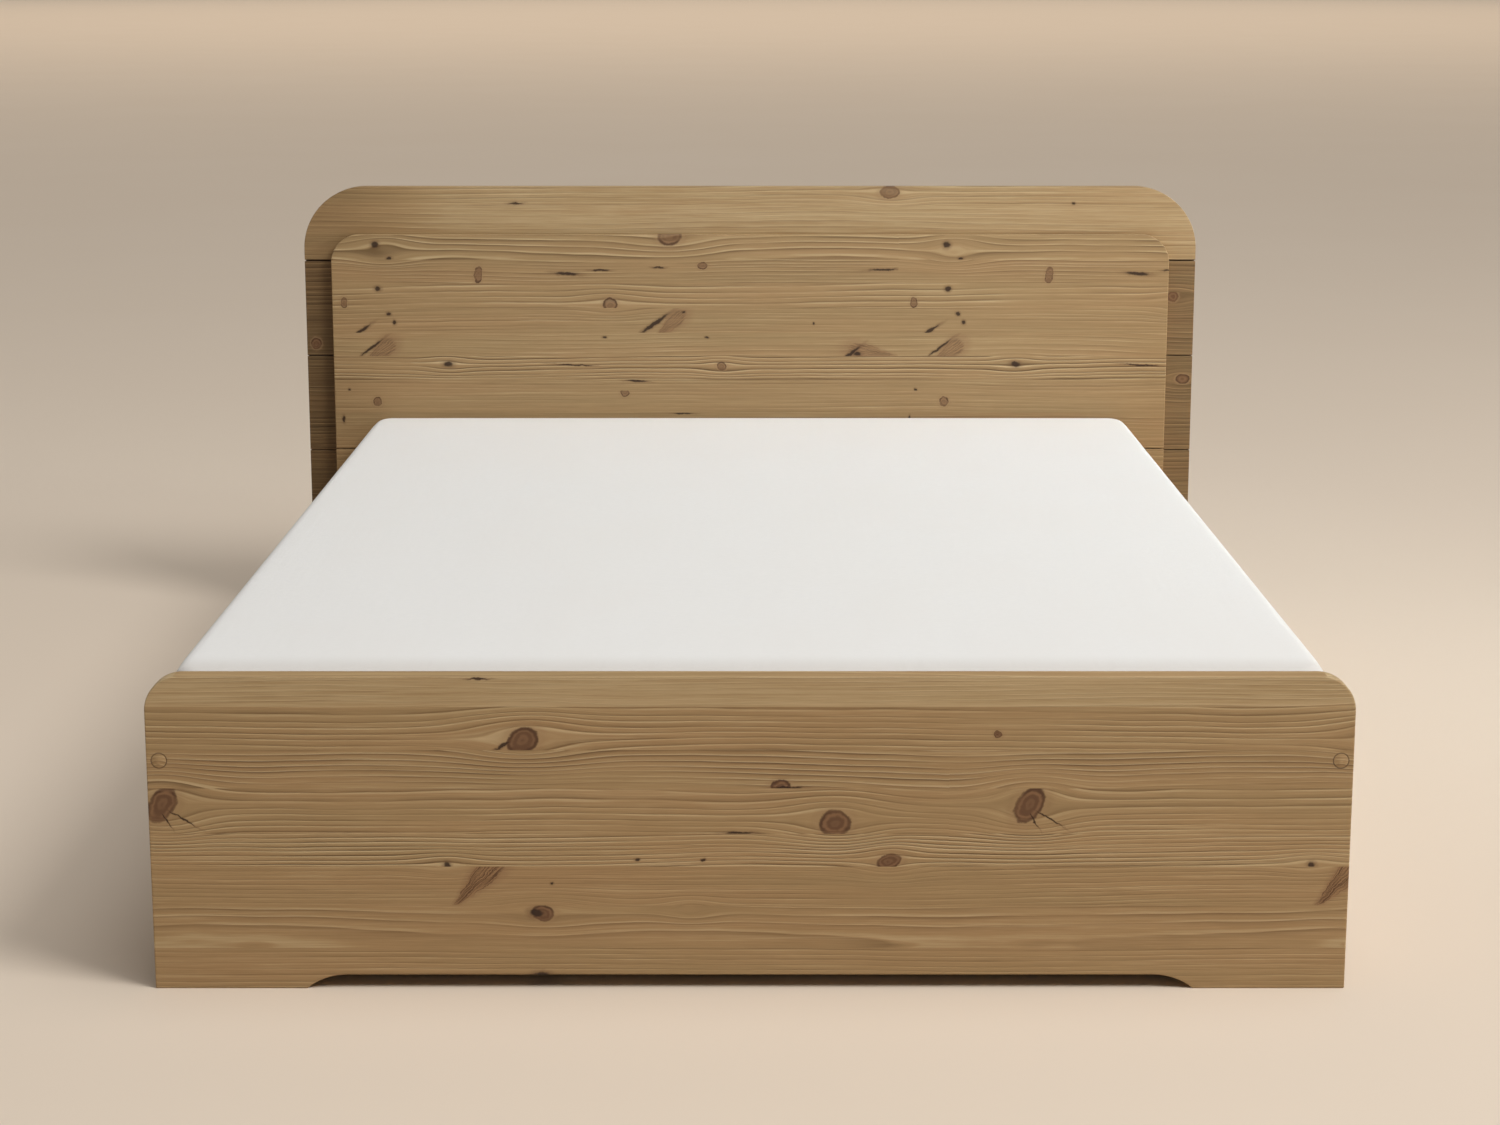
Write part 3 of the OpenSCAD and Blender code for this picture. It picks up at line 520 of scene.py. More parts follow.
def pine(name, order, staves, low, high, face, colours=OILED, mirrored=False, knots=(), specks=(), slits=(),
         branches=(), partings=(), tile=None, scattered=0.0, relief=0.0005, boldness=0.9, left_end_painted_shade=1.0, plug_shade_rings=()):
    """A pine board's material. Order names the axes along, across and through the board. Staves are the glued strips
    from low to high across it, in mm: (upper edge, tone, pith from the strip's middle, ring spacing, contrast).
    Face is where the board's face lies on the third axis, in metres, or None for a set of boards. Mirrored boards lie
    on both sides of the bed. Tile is the stretch along the board, in mm, whose marks repeat. Knots, specks, slits and
    branches are marks, and partings bend the grain: (along, across, reach, reach, push) in mm. Scattered is the share
    of cells with a small knot, boldness how strongly knots show, left_end_painted_shade the tone at the board's left
    end, where shade is painted in, and plug_shade_rings are the rings of painted shade round plugs."""
    material = bpy.data.materials.new(name)
    material.use_nodes = True
    tree = material.node_tree
    shader = tree.nodes["Principled BSDF"]
    object_place = add(tree, "ShaderNodeTexCoord").outputs["Object"]
    axes = dict(zip("XYZ", add(tree, "ShaderNodeSeparateXYZ", {0: object_place}).outputs))
    along, across, through = (axes[letter] for letter in order)

    key_shift = 0.0
    if mirrored:
        key_shift = calc(tree, "MULTIPLY", calc(tree, "SIGN", through), SIDE_STEP)
        through = calc(tree, "ABSOLUTE", through)
    if face is None:
        depth = calc(tree, "PINGPONG", through, SET_PITCH / 2)
        place_in_set = calc(tree, "DIVIDE", calc(tree, "SUBTRACT", through, SET_START), SET_PITCH)
        key_shift = calc(tree, "MULTIPLY", calc(tree, "FLOOR", place_in_set), SET_STEP)
    else:
        depth = calc(tree, "SUBTRACT", through, face)

    # The numbers of the stave at this height
    position = between(tree, across, low / 1000, high / 1000, kind="LINEAR")
    span, marks, lower = high - low, [], low
    for upper, tone, pith, spacing, contrast in staves:
        pith_place = ((lower + upper) / 2 + pith) / 1000
        packed = (tone / TONE_SPAN, (pith_place - PITH_LOW) / PITH_SPAN, spacing / SPACING_SPAN_MM, contrast)
        marks.append(((lower - low) / span, packed))
        lower = upper
    strip = steps(tree, position, marks)
    keys = steps(tree, position, [(mark[0], (*(STAVE_STEP * i,) * 3, 1.0)) for i, mark in enumerate(marks)])[0]
    key = calc(tree, "ADD", keys, key_shift)
    channels = add(tree, "ShaderNodeSeparateColor", {0: strip["Color"]}).outputs
    tone = calc(tree, "MULTIPLY", channels[0], TONE_SPAN)
    pith = calc(tree, "MULTIPLY_ADD", channels[1], PITH_SPAN, PITH_LOW)
    spacing = calc(tree, "MULTIPLY", channels[2], SPACING_SPAN_MM / 1000)
    contrast = calc(tree, "MULTIPLY", strip["Alpha"], CONTRAST_GAIN)
    # Painted shade: the tone falls towards the board's left end
    if left_end_painted_shade != 1.0:
        tone = calc(tree, "MULTIPLY", tone, between(tree, along, -0.94, -0.62, left_end_painted_shade, 1.0))

    # The grain, bent round the knots of each tile
    wrapped = calc(tree, "WRAP", along, tile[1] / 1000, tile[0] / 1000) if tile else along
    tile_place = add(tree, "ShaderNodeCombineXYZ", {0: wrapped, 1: across, 2: depth}).outputs[0]
    plain = add(tree, "ShaderNodeCombineXYZ", {0: along, 1: across, 2: depth}).outputs[0]
    bent = tile_place
    for centre_along, centre_across, reach_along, reach_across, push in partings:
        bent = use(tree, PARTING, {
            "Board": bent, "Centre": (centre_along / 1000, centre_across / 1000, 0.0),
            "Reach": (reach_along / 1000, reach_across / 1000, 1.0), "Push": push / 1000,
        })[0]
    bend = vector(tree, "SUBTRACT", bent, tile_place)
    figure = vector(tree, "ADD", plain, bend)
    rings = use(tree, RINGS, {"Board": figure, "Pith": pith, "Spacing": spacing, "Key": key})
    fibre = use(tree, FIBRE, {"Board": figure, "Key": key})
    skin = use(tree, SURFACE, {
        "Tone": tone, "Contrast": contrast, "Dark": rings["Dark"], "Pale": rings["Pale"], "Relief": rings["Relief"],
        "Fine": fibre["Fine"], "Streak": fibre["Streak"], "Cloud": fibre["Cloud"],
        "Wood": colours[0], "Warm Wood": colours[1], "Ring Wood": colours[2],
    })

    # Marks, with ragged rims
    colour = skin["Color"]
    ragged = noise(tree, plain, (75.0, 75.0, 0.0), 3.0, 0.62, colour=True)
    ragged = vector(tree, "MULTIPLY", vector(tree, "SUBTRACT", ragged, (0.5, 0.5, 0.5)), (0.010, 0.007, 0.0))
    flat = add(tree, "ShaderNodeCombineXYZ", {0: wrapped, 1: across, 2: keys}).outputs[0]
    flat = vector(tree, "ADD", flat, ragged)
    for branch in branches:
        place = from_mark(tree, flat, branch, staves)
        colour = use(tree, BRANCH, {"Color": colour, "Strength": boldness, "Place": place})[0]
    if knots:
        distance = nearest(tree, flat, knots, staves)
        colour = use(tree, KNOT, {"Color": colour, "Grain": fibre["Streak"], "Strength": boldness,
                                  "Distance": distance})[0]
    if specks or slits:
        colour = use(tree, SPECK, {"Color": colour, "Distance": nearest(tree, flat, specks + slits, staves)})[0]
    if scattered:
        distance = scattered_knot(tree, figure, key, ragged, scattered)
        colour = use(tree, KNOT, {"Color": colour, "Grain": fibre["Streak"], "Strength": 0.85,
                                  "Distance": distance})[0]
    # Painted shade: a dark ring round each plug, where its rim meets the board
    for seat in plug_shade_rings:
        colour = blend_colours(tree, plug_shade_ring(tree, along, across, seat), colour, tint(84, 62, 42))

    bump = add(tree, "ShaderNodeBump", {"Height": skin["Height"], "Strength": 1.0, "Distance": relief})
    feed(tree, shader.inputs["Base Color"], colour)
    feed(tree, shader.inputs["Roughness"], skin["Roughness"])
    feed(tree, shader.inputs["Normal"], bump.outputs[0])
    shader.inputs["Specular IOR Level"].default_value = 0.35
    return material


# ---------------------------------------------------------------- the pine's boards

# Glued strips: (upper edge mm, tone, pith from the strip's middle mm, ring spacing mm, ring contrast)
FOOT_STAVES = (
    (60, 1.06, 160, 8.0, 0.34),
    (122, 1.07, -26, 7.0, 0.40),
    (179, 1.05, 210, 6.5, 0.28),
    (228, 1.11, 190, 6.2, 1.00),
    (292.5, 1.08, 62, 6.9, 0.50),
    (349, 1.09, -58, 6.0, 0.66),
    (410, 1.08, 70, 7.0, 0.48),
    # Painted highlight: this strip's tone of 1.27 is partly a paler stave and partly light from above painted in
    (453.6, 1.27, -190, 7.0, 0.30),
    # Painted shade: the top face and its arris go back to tone 1.06, so the well-lit top face shows no brighter than
    # the front
    (456, 1.06, -190, 7.0, 0.30),
)
PANEL_STAVES = (
    (230, 1.01, -90, 7.0, 0.4),
    (290, 1.03, 120, 8.0, 0.4),
    (350, 1.01, 160, 7.0, 0.4),
    (416, 0.99, 120, 9.0, 0.3),
    (460, 1.01, -180, 8.0, 0.28),
    (508, 1.03, 170, 8.5, 0.28),
    (532, 1.01, 150, 8.0, 0.35),
    (584, 1.04, 170, 8.0, 1.00),
    (636, 1.06, -160, 9.5, 0.30),
    (690, 1.02, 190, 8.0, 0.34),
    (742, 1.05, 60, 9.0, 0.48),
    (794, 1.01, -170, 8.0, 0.50),
    (849, 1.04, -40, 8.0, 0.70),
)
# Painted shade: the lower boards' tone of about 0.57 is partly darker wood and partly the raised panel's shade
# painted in
BACK_STAVES = (
    (230, 0.57, 120, 8.0, 0.5),
    (300, 0.60, -90, 7.0, 0.4),
    (377, 0.57, 160, 9.0, 0.5),
    (450, 0.56, 130, 7.5, 0.6),
    (520, 0.60, -60, 8.0, 0.5),
    (585, 0.57, 150, 8.0, 0.55),
    (650, 0.59, -110, 8.0, 0.4),
    (720, 0.56, 120, 7.0, 0.5),
    (793, 0.58, 90, 8.5, 0.5),
    # Painted highlight: the crown board's rows, 1.16 to 1.22, are partly paler wood and partly light from above
    # painted in
    (850, 1.16, 150, 9.0, 0.36),
    (905, 1.22, -170, 10.0, 0.30),
    (951, 1.18, 130, 8.0, 0.40),
)

footboard_pine = pine(
    "footboard_timber", "XZY", FOOT_STAVES, 0, 456, -1.056, tile=(-930, 277),
    knots=((-315, 363, 22, 17, 28), (-818, 270, 17, 27, -32), (118, 243, 21, 18, 0), (193, 187, 17, 10, 18),
           (-290, 112, 15, 11, -12), (-864, 372, 5, 5, 0), (43, 297, 14, 9, 0)),
    specks=((-423, 182, 5.5, 5, 0), (-375, 451.3, 15, 1.3, 0), (-276, 155, 2.4, 2.4, 0), (-293, 20, 13, 5, 0),
            (-157, 190, 3, 2, 0), (-66, 190, 3, 2, 0), (-300, 112, 10, 6, -10)),
    slits=((-15, 229, 20, 2.2, 0), (52, 295, 22, 2.0, 0), (-343, 355, 13, 2.2, 32), (-790, 250, 22, 1.1, -32),
           (-812, 247, 13, 1.0, -58)),
    branches=((-380, 160, 50, 21, 48),), plug_shade_rings=((0.8195, 0.334, 0.0103),),
    partings=((-315, 366, 90, 34, 16), (-818, 270, 62, 36, 18), (118, 249, 74, 32, 14), (193, 190, 46, 26, 9),
              (-290, 112, 70, 24, 9), (-423, 182, 45, 16, 6), (-83, 118, 40, 16, 7)),
)
panel_pine = pine(
    "front_panel_pine", "XZY", PANEL_STAVES, 160, 849, 0.982, tile=(-908, 319), relief=0.0004, boldness=0.55,
    knots=((-301, 698, 14, 14, 0), (-173, 846, 24, 20, 0), (-584, 762, 8, 17, -6), (-61, 563, 10, 9, 0),
           (-874, 702, 7, 11, 0), (-102, 782, 10, 7, 0), (-271, 505, 9, 8, 0), (-807, 486, 9, 10, 0)),
    specks=((-805, 827, 8, 7, 20), (-775, 797, 6, 4, 10), (-801, 732, 7, 5.5, 0), (-779, 678, 5, 4, 0),
            (-766, 659, 4, 5, 0), (-653, 568, 11, 6, 0), (-868, 511, 3, 4, 0), (-881, 447, 3, 8, 0),
            (-143, 682, 4, 2.6, 0), (-314, 626, 5, 2.4, 0), (-93, 626, 4, 2.4, 0), (138, 656, 3, 3, 0),
            (232, 590, 9, 4, 0)),
    slits=((-394, 765, 27, 3.8, -4), (-322, 772, 20, 2.1, 0), (-197, 778, 14, 2.0, 0), (-839, 641, 26, 3.4, 33),
           (-245, 531, 24, 2.2, -4), (-145, 460, 22, 2.0, 0), (286, 773, 30, 2.4, 2), (-380, 566, 40, 1.8, -3),
           (-206, 656, 40, 4.0, 35), (-817, 604, 32, 2.6, 37), (216, 590, 28, 3.8, 38)),
    branches=((-172, 654, 42, 19, 42), (-800, 594, 40, 22, 36), (262, 594, 50, 20, 172)),
    partings=((-173, 850, 90, 34, 14), (-301, 698, 60, 26, 8), (-790, 815, 70, 30, 14), (-653, 568, 50, 18, 6),
              (-61, 563, 50, 18, 6)),
)
# The back boards carry painted shade that darkens them towards their left ends
back_pine = pine(
    "back_board_pine", "XZY", BACK_STAVES, 160, 951, 1.004, relief=0.0004, boldness=0.6, left_end_painted_shade=0.66,
    knots=((300, 938, 20, 13, 0), (914, 712, 12, 11, 0), (940, 532, 14, 10, 0), (-940, 610, 10, 12, 0)),
    specks=((695, 914, 4, 3, 0), (-504, 914, 7, 3, 0)),
    slits=((-504, 914, 16, 2.0, 0),),
    partings=((300, 938, 70, 26, 10), (914, 712, 60, 26, 12), (940, 532, 60, 26, 12)),
)
post_pine = pine(
    "post_pine", "ZXY", ((-870, 0.97, 90, 6, 0.6), (-820, 1.0, -80, 7, 0.6), (0, 0.98, 100, 6.5, 0.6),
                         (50, 1.0, -90, 7, 0.6), (819, 0.98, 80, 6, 0.6), (870, 1.0, 120, 7, 0.6)),
    -870, 870, 1.024, scattered=0.45,
)
rail_pine = pine(
    "rail_timber", "YZX", ((303, 0.98, 70, 6.5, 0.6), (358, 1.01, -60, 7.5, 0.6), (411, 0.99, 110, 7, 0.5)),
    249, 411, 0.8335, mirrored=True, scattered=0.4,
)
drawer_front_pine = pine(
    "drawer_front_timber", "YZX", ((72, 0.98, 90, 7, 0.5), (130, 1.01, -50, 7.5, 0.6), (190, 0.99, 120, 6.5, 0.7),
                                 (247, 1.02, -80, 8, 0.5)),
    14, 247, 0.8335, mirrored=True, scattered=0.45,
)
slat_pine = pine(
    "slat_timber", "XYZ", tuple((y, 1.0 + 0.02 * (i % 3 - 1), 40 - 37 * (i % 3), 5.5 + 0.7 * (i % 2), 0.6)
                             for i, y in enumerate(range(-930, 1051, 134))),
    -1030, 1050, 0.277, colours=PALE, scattered=0.35,
)
ledge_pine = pine("ledge_pine", "YZX", ((300, 1.0, 60, 5, 0.6),), 200, 300, 0.7785, colours=PALE, mirrored=True,
                  scattered=0.3)
beam_pine = pine("beam_pine", "YZX", ((300, 1.0, 40, 5.5, 0.6),), 200, 300, -0.03, colours=PALE, scattered=0.4)
leg_pine = pine("leg_pine", "ZXY", ((60, 1.0, 50, 5.5, 0.6),), -60, 60, None, colours=PALE, scattered=0.3)
drawer_end_pine = pine("drawer_side_pine", "XZY", ((105, 1.0, 60, 6, 0.55), (158, 0.98, -70, 7, 0.55),
                                                   (212, 1.01, 90, 6, 0.55)),
                       50, 212, None, colours=PALE, scattered=0.4)
drawer_back_pine = pine("drawer_back_pine", "YZX", ((105, 1.0, 60, 6, 0.55), (158, 0.98, -70, 7, 0.55),
                                                    (212, 1.01, 90, 6, 0.55)),
                        50, 212, 0.0228, colours=PALE, mirrored=True, scattered=0.4)
ply_pine = pine("drawer_bottom_ply", "XYZ", ((-510, 1.0, 160, 14, 0.35), (0, 0.98, -120, 12, 0.35),
                                             (490, 1.01, 140, 15, 0.35), (1050, 0.99, -150, 13, 0.35)),
                -1050, 1050, 0.0455, colours=PALE, scattered=0.12)
plug_pine = pine("plug_timber", "XZY", ((456, 1.06, 60, 4.0, 0.35),), 0, 456, -1.056)
dowel_pine = pine("dowel_pine", "YZX", ((456, 1.0, 20, 2.5, 0.5),), 0, 456, None, colours=PALE)


# ---------------------------------------------------------------- steel, plastic and cloth

def plain_material(name, metallic=0.0):
    """A material to be filled in, with its nodes, its shader and the place on the object."""
    material = bpy.data.materials.new(name)
    material.use_nodes = True
    tree = material.node_tree
    shader = tree.nodes["Principled BSDF"]
    shader.inputs["Metallic"].default_value = metallic
    place = add(tree, "ShaderNodeTexCoord").outputs["Object"]
    return material, tree, shader, place


def zinc_steel():
    """Zinc-plated steel: cloudy spangle, faint yellow bloom and fine draw lines."""
    material, tree, shader, place = plain_material("zinc_steel", 1.0)
    cloud = noise(tree, place, (140.0, 140.0, 140.0), 3.0, 0.6)
    lines = noise(tree, place, (900.0, 900.0, 60.0), 2.0, 0.6)
    colour = blend_colours(tree, between(tree, cloud, 0.35, 0.65), tint(196, 198, 200), tint(176, 174, 166))
    feed(tree, shader.inputs["Base Color"], colour)
    rough = calc(tree, "MULTIPLY_ADD", cloud, 0.22, calc(tree, "MULTIPLY_ADD", lines, 0.14, 0.2))
    feed(tree, shader.inputs["Roughness"], rough)
    bump = add(tree, "ShaderNodeBump", {"Height": lines, "Strength": 0.4, "Distance": 0.00008})
    feed(tree, shader.inputs["Normal"], bump.outputs[0])
    return material


def moulded_plastic():
    """Dark grey moulded plastic with a fine spark texture and dusty bloom."""
    material, tree, shader, place = plain_material("wheel_moulding")
    spark = noise(tree, place, (1800.0, 1800.0, 1800.0), 1.0)
    dust = noise(tree, place, (70.0, 70.0, 70.0), 4.0, 0.65)
    colour = blend_colours(tree, between(tree, dust, 0.42, 0.75, 0.0, 0.5), tint(72, 73, 76), tint(108, 106, 102))
    feed(tree, shader.inputs["Base Color"], colour)
    feed(tree, shader.inputs["Roughness"], calc(tree, "MULTIPLY_ADD", dust, 0.3, 0.42))
    bump = add(tree, "ShaderNodeBump", {"Height": spark, "Strength": 0.5, "Distance": 0.00008})
    feed(tree, shader.inputs["Normal"], bump.outputs[0])
    return material


def mattress_cover():
    """White cotton cover: a fine plain weave over soft, shallow creases, and painted shade towards its foot end."""
    material, tree, shader, place = plain_material("mattress_cover")
    thread_turn = 2 * math.pi / 0.0011  # radians per metre, for threads 1.1 mm apart
    parts = add(tree, "ShaderNodeSeparateXYZ", {0: place}).outputs
    across = calc(tree, "SINE", calc(tree, "MULTIPLY", parts[0], thread_turn))
    upright = calc(tree, "ADD", parts[1], parts[2])
    down = calc(tree, "SINE", calc(tree, "MULTIPLY", upright, thread_turn))
    weave = calc(tree, "MULTIPLY", across, down)
    slub = noise(tree, place, (90.0, 700.0, 700.0), 2.0, 0.6)
    crease = noise(tree, place, (5.0, 3.0, 6.0), 3.0, 0.5)
    pull = noise(tree, place, (38.0, 2.5, 10.0), 2.0, 0.5)
    colour = blend_colours(tree, between(tree, slub, 0.3, 0.7), tint(241, 241, 239), tint(238, 238, 236))
    colour = blend_colours(tree, between(tree, crease, 0.35, 0.7, 0.0, 0.5), colour, tint(239, 238, 235))
    tucks = noise(tree, place, (85.0, 0.6, 0.6), 1.0)
    near_end = between(tree, parts[1], -0.955, -1.02)
    # Painted shade: the cover turns greyer towards its foot end, next to the footboard
    colour = blend_colours(tree, between(tree, parts[1], -0.94, -1.03, 0.0, 0.8), colour, tint(217, 212, 206))
    tucks = calc(tree, "MULTIPLY", between(tree, tucks, 0.60, 0.70, 0.0, 0.28), near_end)
    colour = blend_colours(tree, tucks, colour, tint(222, 219, 214))
    feed(tree, shader.inputs["Base Color"], colour)
    feed(tree, shader.inputs["Roughness"], calc(tree, "MULTIPLY_ADD", slub, 0.12, 0.84))
    shader.inputs["Sheen Weight"].default_value = 0.04
    shader.inputs["Sheen Roughness"].default_value = 0.5
    shader.inputs["Specular IOR Level"].default_value = 0.08
    thread = add(tree, "ShaderNodeBump", {"Height": calc(tree, "MULTIPLY_ADD", slub, 1.5, weave), "Strength": 0.5,
                                          "Distance": 0.00012})
    waves = calc(tree, "MULTIPLY_ADD", pull, 0.25, crease)
    fall = add(tree, "ShaderNodeBump", {"Height": waves, "Strength": 0.3, "Distance": 0.008,
                                        "Normal": thread.outputs[0]})
    feed(tree, shader.inputs["Normal"], fall.outputs[0])
    return material


steel = zinc_steel()
plastic = moulded_plastic()
cover = mattress_cover()


# ---------------------------------------------------------------- footboard and headboard

def make_footboard():
    """One wide board with round upper corners and a low arch between its two feet."""
    low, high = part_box("footboard")
    piece = block("footboard_panel", low, high)
    round_edges(piece, upper_corner(high.z), 0.050, 20)
    arch_top, arch_round, half_flat = 0.020, 0.090, 0.5669
    half_width, saw_bottom, overrun = half_flat + arch_round, -0.16, 0.01
    cutter = block("arch saw", (-half_width, low.y - overrun, saw_bottom), (half_width, high.y + overrun, arch_top))
    round_edges(cutter, lambda e: runs_along(e, 1) and e.verts[0].co.z > 0, arch_round, 24)
    combine(piece, cutter, "DIFFERENCE")
    round_edges(piece, is_arris, FACE_EASE, 4)
    finish_surface(piece)
    hang(piece, BED, footboard_pine, "footboard_pine", "footboard")


def make_headboard():
    """Four back boards with open seams, a raised panel of two boards on their front, and three posts behind."""
    low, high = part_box("headboard_top_board")
    top = block("headboard_crown_board", low, high)
    round_edges(top, upper_corner(high.z), 0.135, 32)
    seam, lip_thick, lip_gap, lip_bite = low.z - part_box("headboard_upper_board")[1].z, 0.006, 0.0003, 0.002
    lip = block("rear lip", (low.x, high.y - lip_thick, low.z - seam + lip_gap), (high.x, high.y, low.z + lip_bite))
    combine(top, lip, "UNION")
    round_edges(top, is_arris, SEAM_EASE, 3)
    finish_surface(top)
    hang(top, BED, back_pine, "headboard_pine", "headboard_top_board")
    for place in ("upper", "middle", "lower"):
        strip = board(f"headboard_{place}_strip", f"headboard_{place}_board", SEAM_EASE)
        hang(strip, BED, back_pine, "headboard_pine", f"headboard_{place}_board")
    panel = board("headboard_raised_panel", "headboard_front_panel", FACE_EASE, 0.060)
    hang(panel, BED, panel_pine, "headboard_pine", "headboard_front_panel")
    lower = board("headboard_raised_lower_panel", "headboard_front_lower_panel", SEAM_EASE)
    hang(lower, BED, panel_pine, "headboard_pine", "headboard_front_lower_panel")
    for place in ("left", "centre", "right"):
        post = eased_copy(f"{place}_post_timber", f"headboard_{place}_post", FRAME_EASE)
        hang(post, BED, post_pine, "headboard_pine", f"headboard_{place}_post")


def make_frame():
    """Rails, ledges, centre beam, its legs and the slats."""
    for side in SIDES:
        rail = eased_copy(f"{side}_rail_timber", f"{side}_side_rail", FRAME_EASE)
        hang(rail, BED, rail_pine, "rail_pine", f"{side}_side_rail")
        ledge = eased_copy(f"{side}_ledge_timber", f"{side}_slat_ledge", 0.0015)
        hang(ledge, BED, ledge_pine, "slat_pine", f"{side}_slat_ledge")
    beam = eased_copy("centre_beam_timber", "centre_beam", FRAME_EASE)
    hang(beam, BED, beam_pine, "slat_pine", "centre_beam")
    for bay in BAYS:
        leg = eased_copy(f"{bay}_leg_timber", f"{bay}_centre_leg", FRAME_EASE)
        hang(leg, BED, leg_pine, "slat_pine", f"{bay}_centre_leg")
    slats = eased_copy("slat_set", "slats", 0.003)
    hang(slats, BED, slat_pine, "slat_pine", "slats")


def make_drawer_front(name, node):
    """A drawer front with a finger grip sawn into its top edge."""
    low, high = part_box(node)
    piece = block(name, low, high)
    middle = (low.y + high.y) / 2
    grip_half, grip_deep = 0.110, 0.028
    cutter = block("grip saw", (low.x - 0.01, middle - grip_half, high.z - grip_deep),
                   (high.x + 0.01, middle + grip_half, high.z + grip_deep))
    round_edges(cutter, lambda e: runs_along(e, 0) and e.verts[0].co.z < high.z, grip_deep, 12)
    combine(piece, cutter, "DIFFERENCE")
    round_edges(piece, is_arris, FRAME_EASE, 3)
    finish_surface(piece)
    return piece


def make_drawers():
    """Four drawers, each a front and a box; their castors and wheels are dressed as hardware."""
    for side in SIDES:
        for bay in BAYS:
            drawer = f"{side}_{bay}_drawer"
            front = make_drawer_front(f"{drawer}_face", f"{drawer}_front")
            hang(front, drawer, drawer_front_pine, "drawer_front_pine", f"{drawer}_front")
            for part, wood in (("foot_side", drawer_end_pine), ("head_side", drawer_end_pine),
                               ("back", drawer_back_pine), ("bottom", ply_pine)):
                piece = eased_copy(f"{drawer}_{part}_timber", f"{drawer}_{part}", BOX_EASE)
                hang(piece, drawer, wood, "drawer_box_pine", f"{drawer}_{part}")


# ---------------------------------------------------------------- mattress

def make_mattress():
    """A firm mattress: crowned panels, sides drawn in between the corners and a sewn seam near each edge."""
    low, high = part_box("mattress")
    middle, half = (low + high) / 2, (high - low) / 2
    piece = block("mattress_pad", low, high)
    round_edges(piece, lambda e: runs_along(e, 2), 0.034, 8)
    round_edges(piece, lambda e: is_arris(e) and not runs_along(e, 2), 0.020, 8)

    # Cuts give the panels enough vertices to bend: fields across and along, close rows at the seams and the waist
    fields_across, fields_along, seam_inset = 40, 50, 0.036
    take(piece)
    bpy.ops.object.mode_set(mode="EDIT")
    cuts = [("X", low.x + step * 2 * half.x / fields_across) for step in range(1, fields_across)]
    cuts += [("Y", low.y + step * 2 * half.y / fields_along) for step in range(1, fields_along)]
    seam_rows = (low.z + seam_inset, high.z - seam_inset)
    cuts += [("Z", row + shift) for row in seam_rows for shift in (-0.006, -0.002, 0.0, 0.002, 0.006)]
    cuts += [("Z", middle.z + shift) for shift in (-0.02, 0.0, 0.02)]
    for axis, place in cuts:
        bpy.ops.mesh.select_all(action="SELECT")
        normal = {"X": (1, 0, 0), "Y": (0, 1, 0), "Z": (0, 0, 1)}[axis]
        bpy.ops.mesh.bisect(plane_co=tuple(place * n for n in normal), plane_no=normal)
    clear()

    # Each vertex moves by its place: across, along and up run from -1 to 1 over the mattress
    crown, waist, seam_deep, overhang = 0.005, 0.004, 0.0024, 0.009
    rail_top, side_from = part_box("left_side_rail")[1].z, 0.985
    for vertex in piece.data.vertices:
        place = vertex.co.copy()
        across = (place.x - middle.x) / half.x
        along = (place.y - middle.y) / half.y
        up = (place.z - middle.z) / half.z
        dome = (1 - abs(across) ** 4) * (1 - abs(along) ** 4)
        held = min(1.0, max(0.0, (abs(up) - 0.75) / 0.24))
        vertex.co.z -= math.copysign(crown * (1 - dome) * held, up)
        over_rail = min(1.0, max(0.0, (place.z - rail_top - 0.002) / 0.012))
        vertex.co.x += overhang * over_rail * across * abs(across) ** 3 * (1 - abs(along) ** 40)
        if max(abs(across), abs(along)) > side_from:
            drawn = waist * (1 - up * up)
            in_seam = any(abs(place.z - row) < 0.0005 for row in seam_rows)
            drawn += seam_deep if in_seam else 0.0
            if abs(across) > side_from:
                vertex.co.x -= math.copysign(drawn * (1 - abs(along) ** 6), across)
            if abs(along) > side_from:
                vertex.co.y -= math.copysign(drawn * (1 - abs(across) ** 6), along)
    take(piece)
    bpy.ops.object.shade_smooth_by_angle(angle=math.radians(60))
    hang(piece, BED, cover, "mattress_cloth", "mattress")


# ---------------------------------------------------------------- carried-over hardware

def dress_hardware():
    """Gives the small CAD nodes that stay as they are their materials."""
    for name, node in nodes.items():
        if name == "footboard_plugs":
            material = plug_pine
        elif name == "rail_dowels":
            material = dowel_pine
        elif name.endswith("_wheels"):
            material = plastic
        elif name.endswith(("_screws", "_bolts", "_nuts", "_brackets", "_castors")):
            material = steel
        else:
            continue
        node.data.materials.clear()
        node.data.materials.append(material)


# ---------------------------------------------------------------- studio

def make_floor():
    """A plain pale floor that runs to the horizon."""
    clear()
    bpy.ops.mesh.primitive_plane_add(size=600, location=(0, 0, 0))
    floor = bpy.context.object
    floor.name = "studio_floor"
    material, tree, shader, place = plain_material("studio_floor_paint")
    cloud = noise(tree, place, (0.6, 0.6, 0.6), 3.0, 0.5)
    colour = blend_colours(tree, cloud, tint(229, 215, 198), tint(226, 211, 193))
    feed(tree, shader.inputs["Base Color"], colour)
    shader.inputs["Roughness"].default_value = 0.9
    shader.inputs["Specular IOR Level"].default_value = 0.15
    floor.data.materials.append(material)


def soft_light(name, place, aim, size, power, colour, spread=180):
    """A round soft box; spread is the angle of its louvre in degrees."""
    clear()
    bpy.ops.object.light_add(type="AREA", location=place)
    lamp = bpy.context.object
    lamp.name = name
    lamp.data.shape = "DISK"
    lamp.data.size = size
    lamp.data.energy = power
    lamp.data.color = colour
    lamp.data.spread = math.radians(spread)
    lamp.rotation_euler = (Vector(aim) - Vector(place)).to_track_quat("-Z", "Y").to_euler()


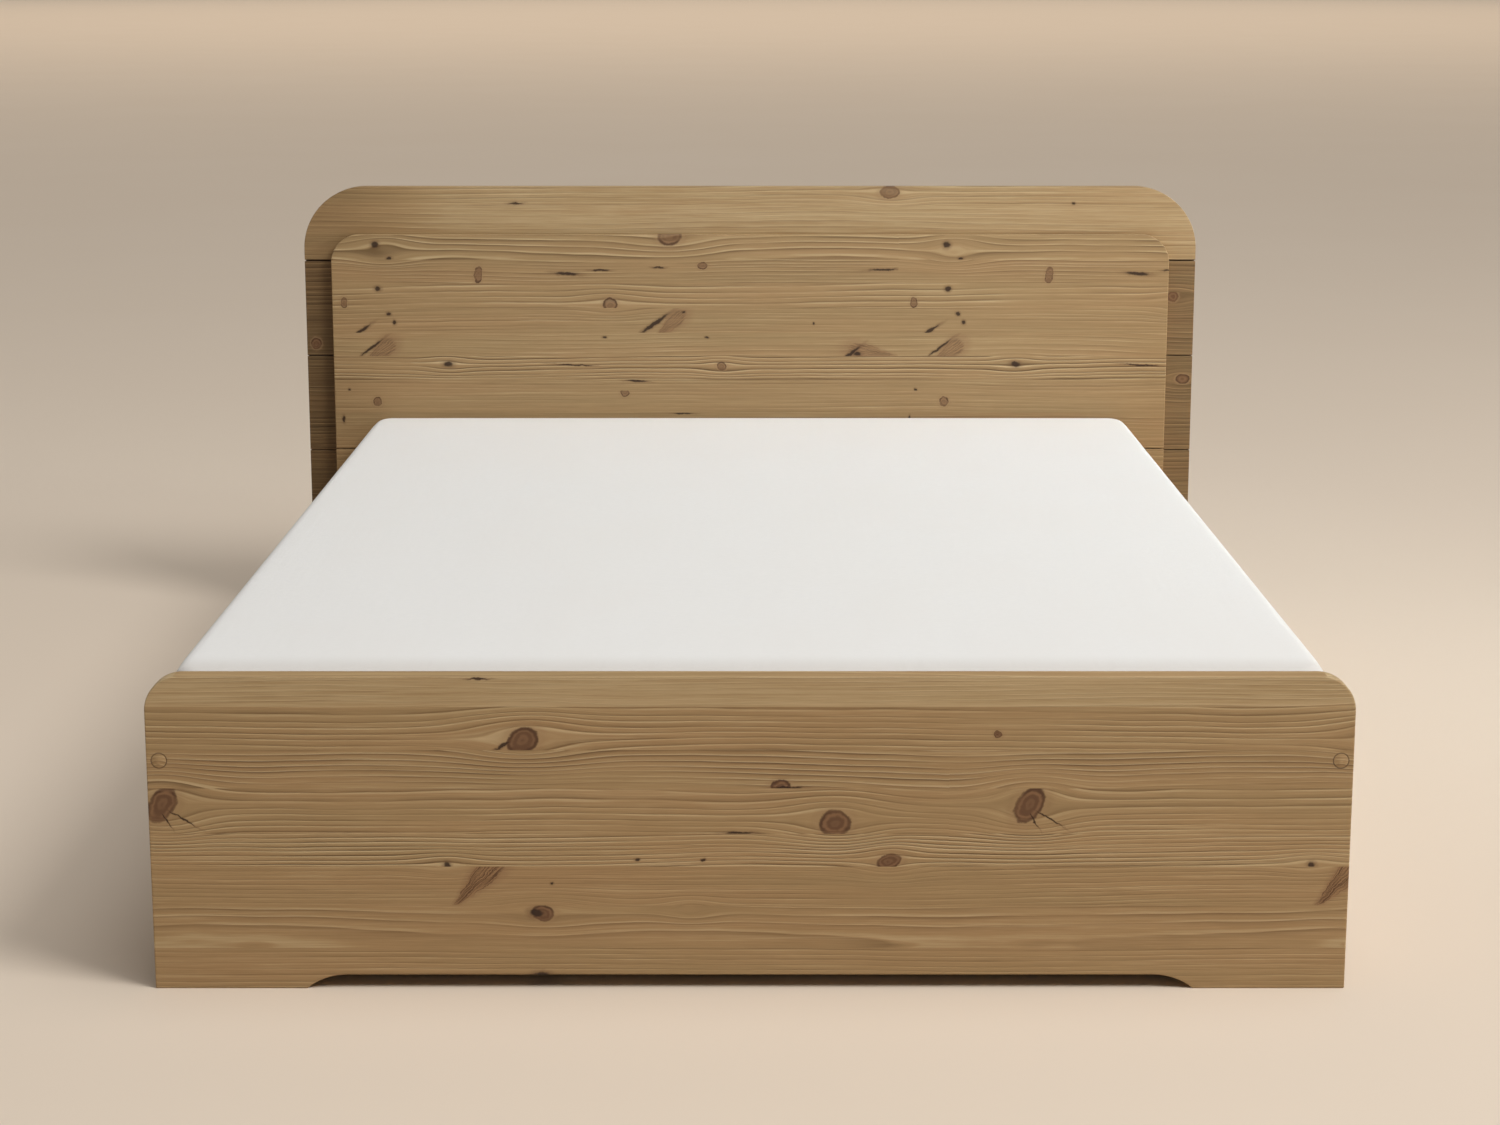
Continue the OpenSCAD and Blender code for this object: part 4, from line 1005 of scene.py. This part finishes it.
def light_studio():
    """Warm air, a large key light from the right, and lights for the headboard, the far floor and from above."""
    world = bpy.data.worlds.new("studio_air")
    bpy.context.scene.world = world
    world.use_nodes = True
    air = world.node_tree.nodes["Background"]
    air.inputs["Color"].default_value = (1.0, 0.92, 0.83, 1.0)
    air.inputs["Strength"].default_value = 0.12
    tree = world.node_tree
    backdrop = add(tree, "ShaderNodeBackground", {"Color": tint(160, 149, 135), "Strength": 1.0}).outputs[0]
    seen = add(tree, "ShaderNodeLightPath").outputs["Is Camera Ray"]
    sky = add(tree, "ShaderNodeMixShader", {0: seen, 1: air.outputs[0], 2: backdrop}).outputs[0]
    feed(tree, tree.nodes["World Output"].inputs["Surface"], sky)
    soft_light("key_light", (5.4, -3.8, 7.3), (0.0, 0.2, 0.3), 3.7, 510, (1.0, 0.98, 0.96))
    soft_light("head_light", (4.6, -1.1, 2.2), (0.4, 1.0, 0.7), 0.8, 5, (0.85, 0.95, 1.0), spread=50)
    soft_light("far_light", (0.0, 64.0, 36.0), (0.0, 64.0, 0.0), 84.0, 7100, (1.0, 0.81, 0.6), spread=100)
    clear()
    bpy.ops.object.light_add(type="SUN", location=(0.0, 0.0, 6.0))
    ceiling = bpy.context.object
    ceiling.name = "ceiling_light"
    ceiling.data.energy = 1.15
    ceiling.data.angle = math.radians(50)
    ceiling.rotation_euler = Vector((-0.22, 0.12, -1.0)).to_track_quat("-Z", "Y").to_euler()


def set_camera():
    """Stands on the bed's middle line, where the photograph was taken from. It looks 10 degrees down and shifts its
    picture a little, because a level camera with a large shift would push the bed out of the other views."""
    camera = bpy.data.objects.new("studio_camera", bpy.data.cameras.new("studio_camera"))
    bpy.context.scene.collection.objects.link(camera)
    camera.location = (0.0, -4.4271, 1.424)
    camera.rotation_euler = (math.radians(90 - 10.088), 0.0, 0.0)
    camera.data.sensor_width = 36.0
    camera.data.lens = 60.77
    camera.data.shift_y = -0.10
    camera.data.clip_end = 500.0
    bpy.context.scene.camera = camera


make_footboard()
make_headboard()
make_frame()
make_drawers()
make_mattress()
dress_hardware()
make_floor()
light_studio()
set_camera()
bpy.context.scene.view_settings.view_transform = "Standard"
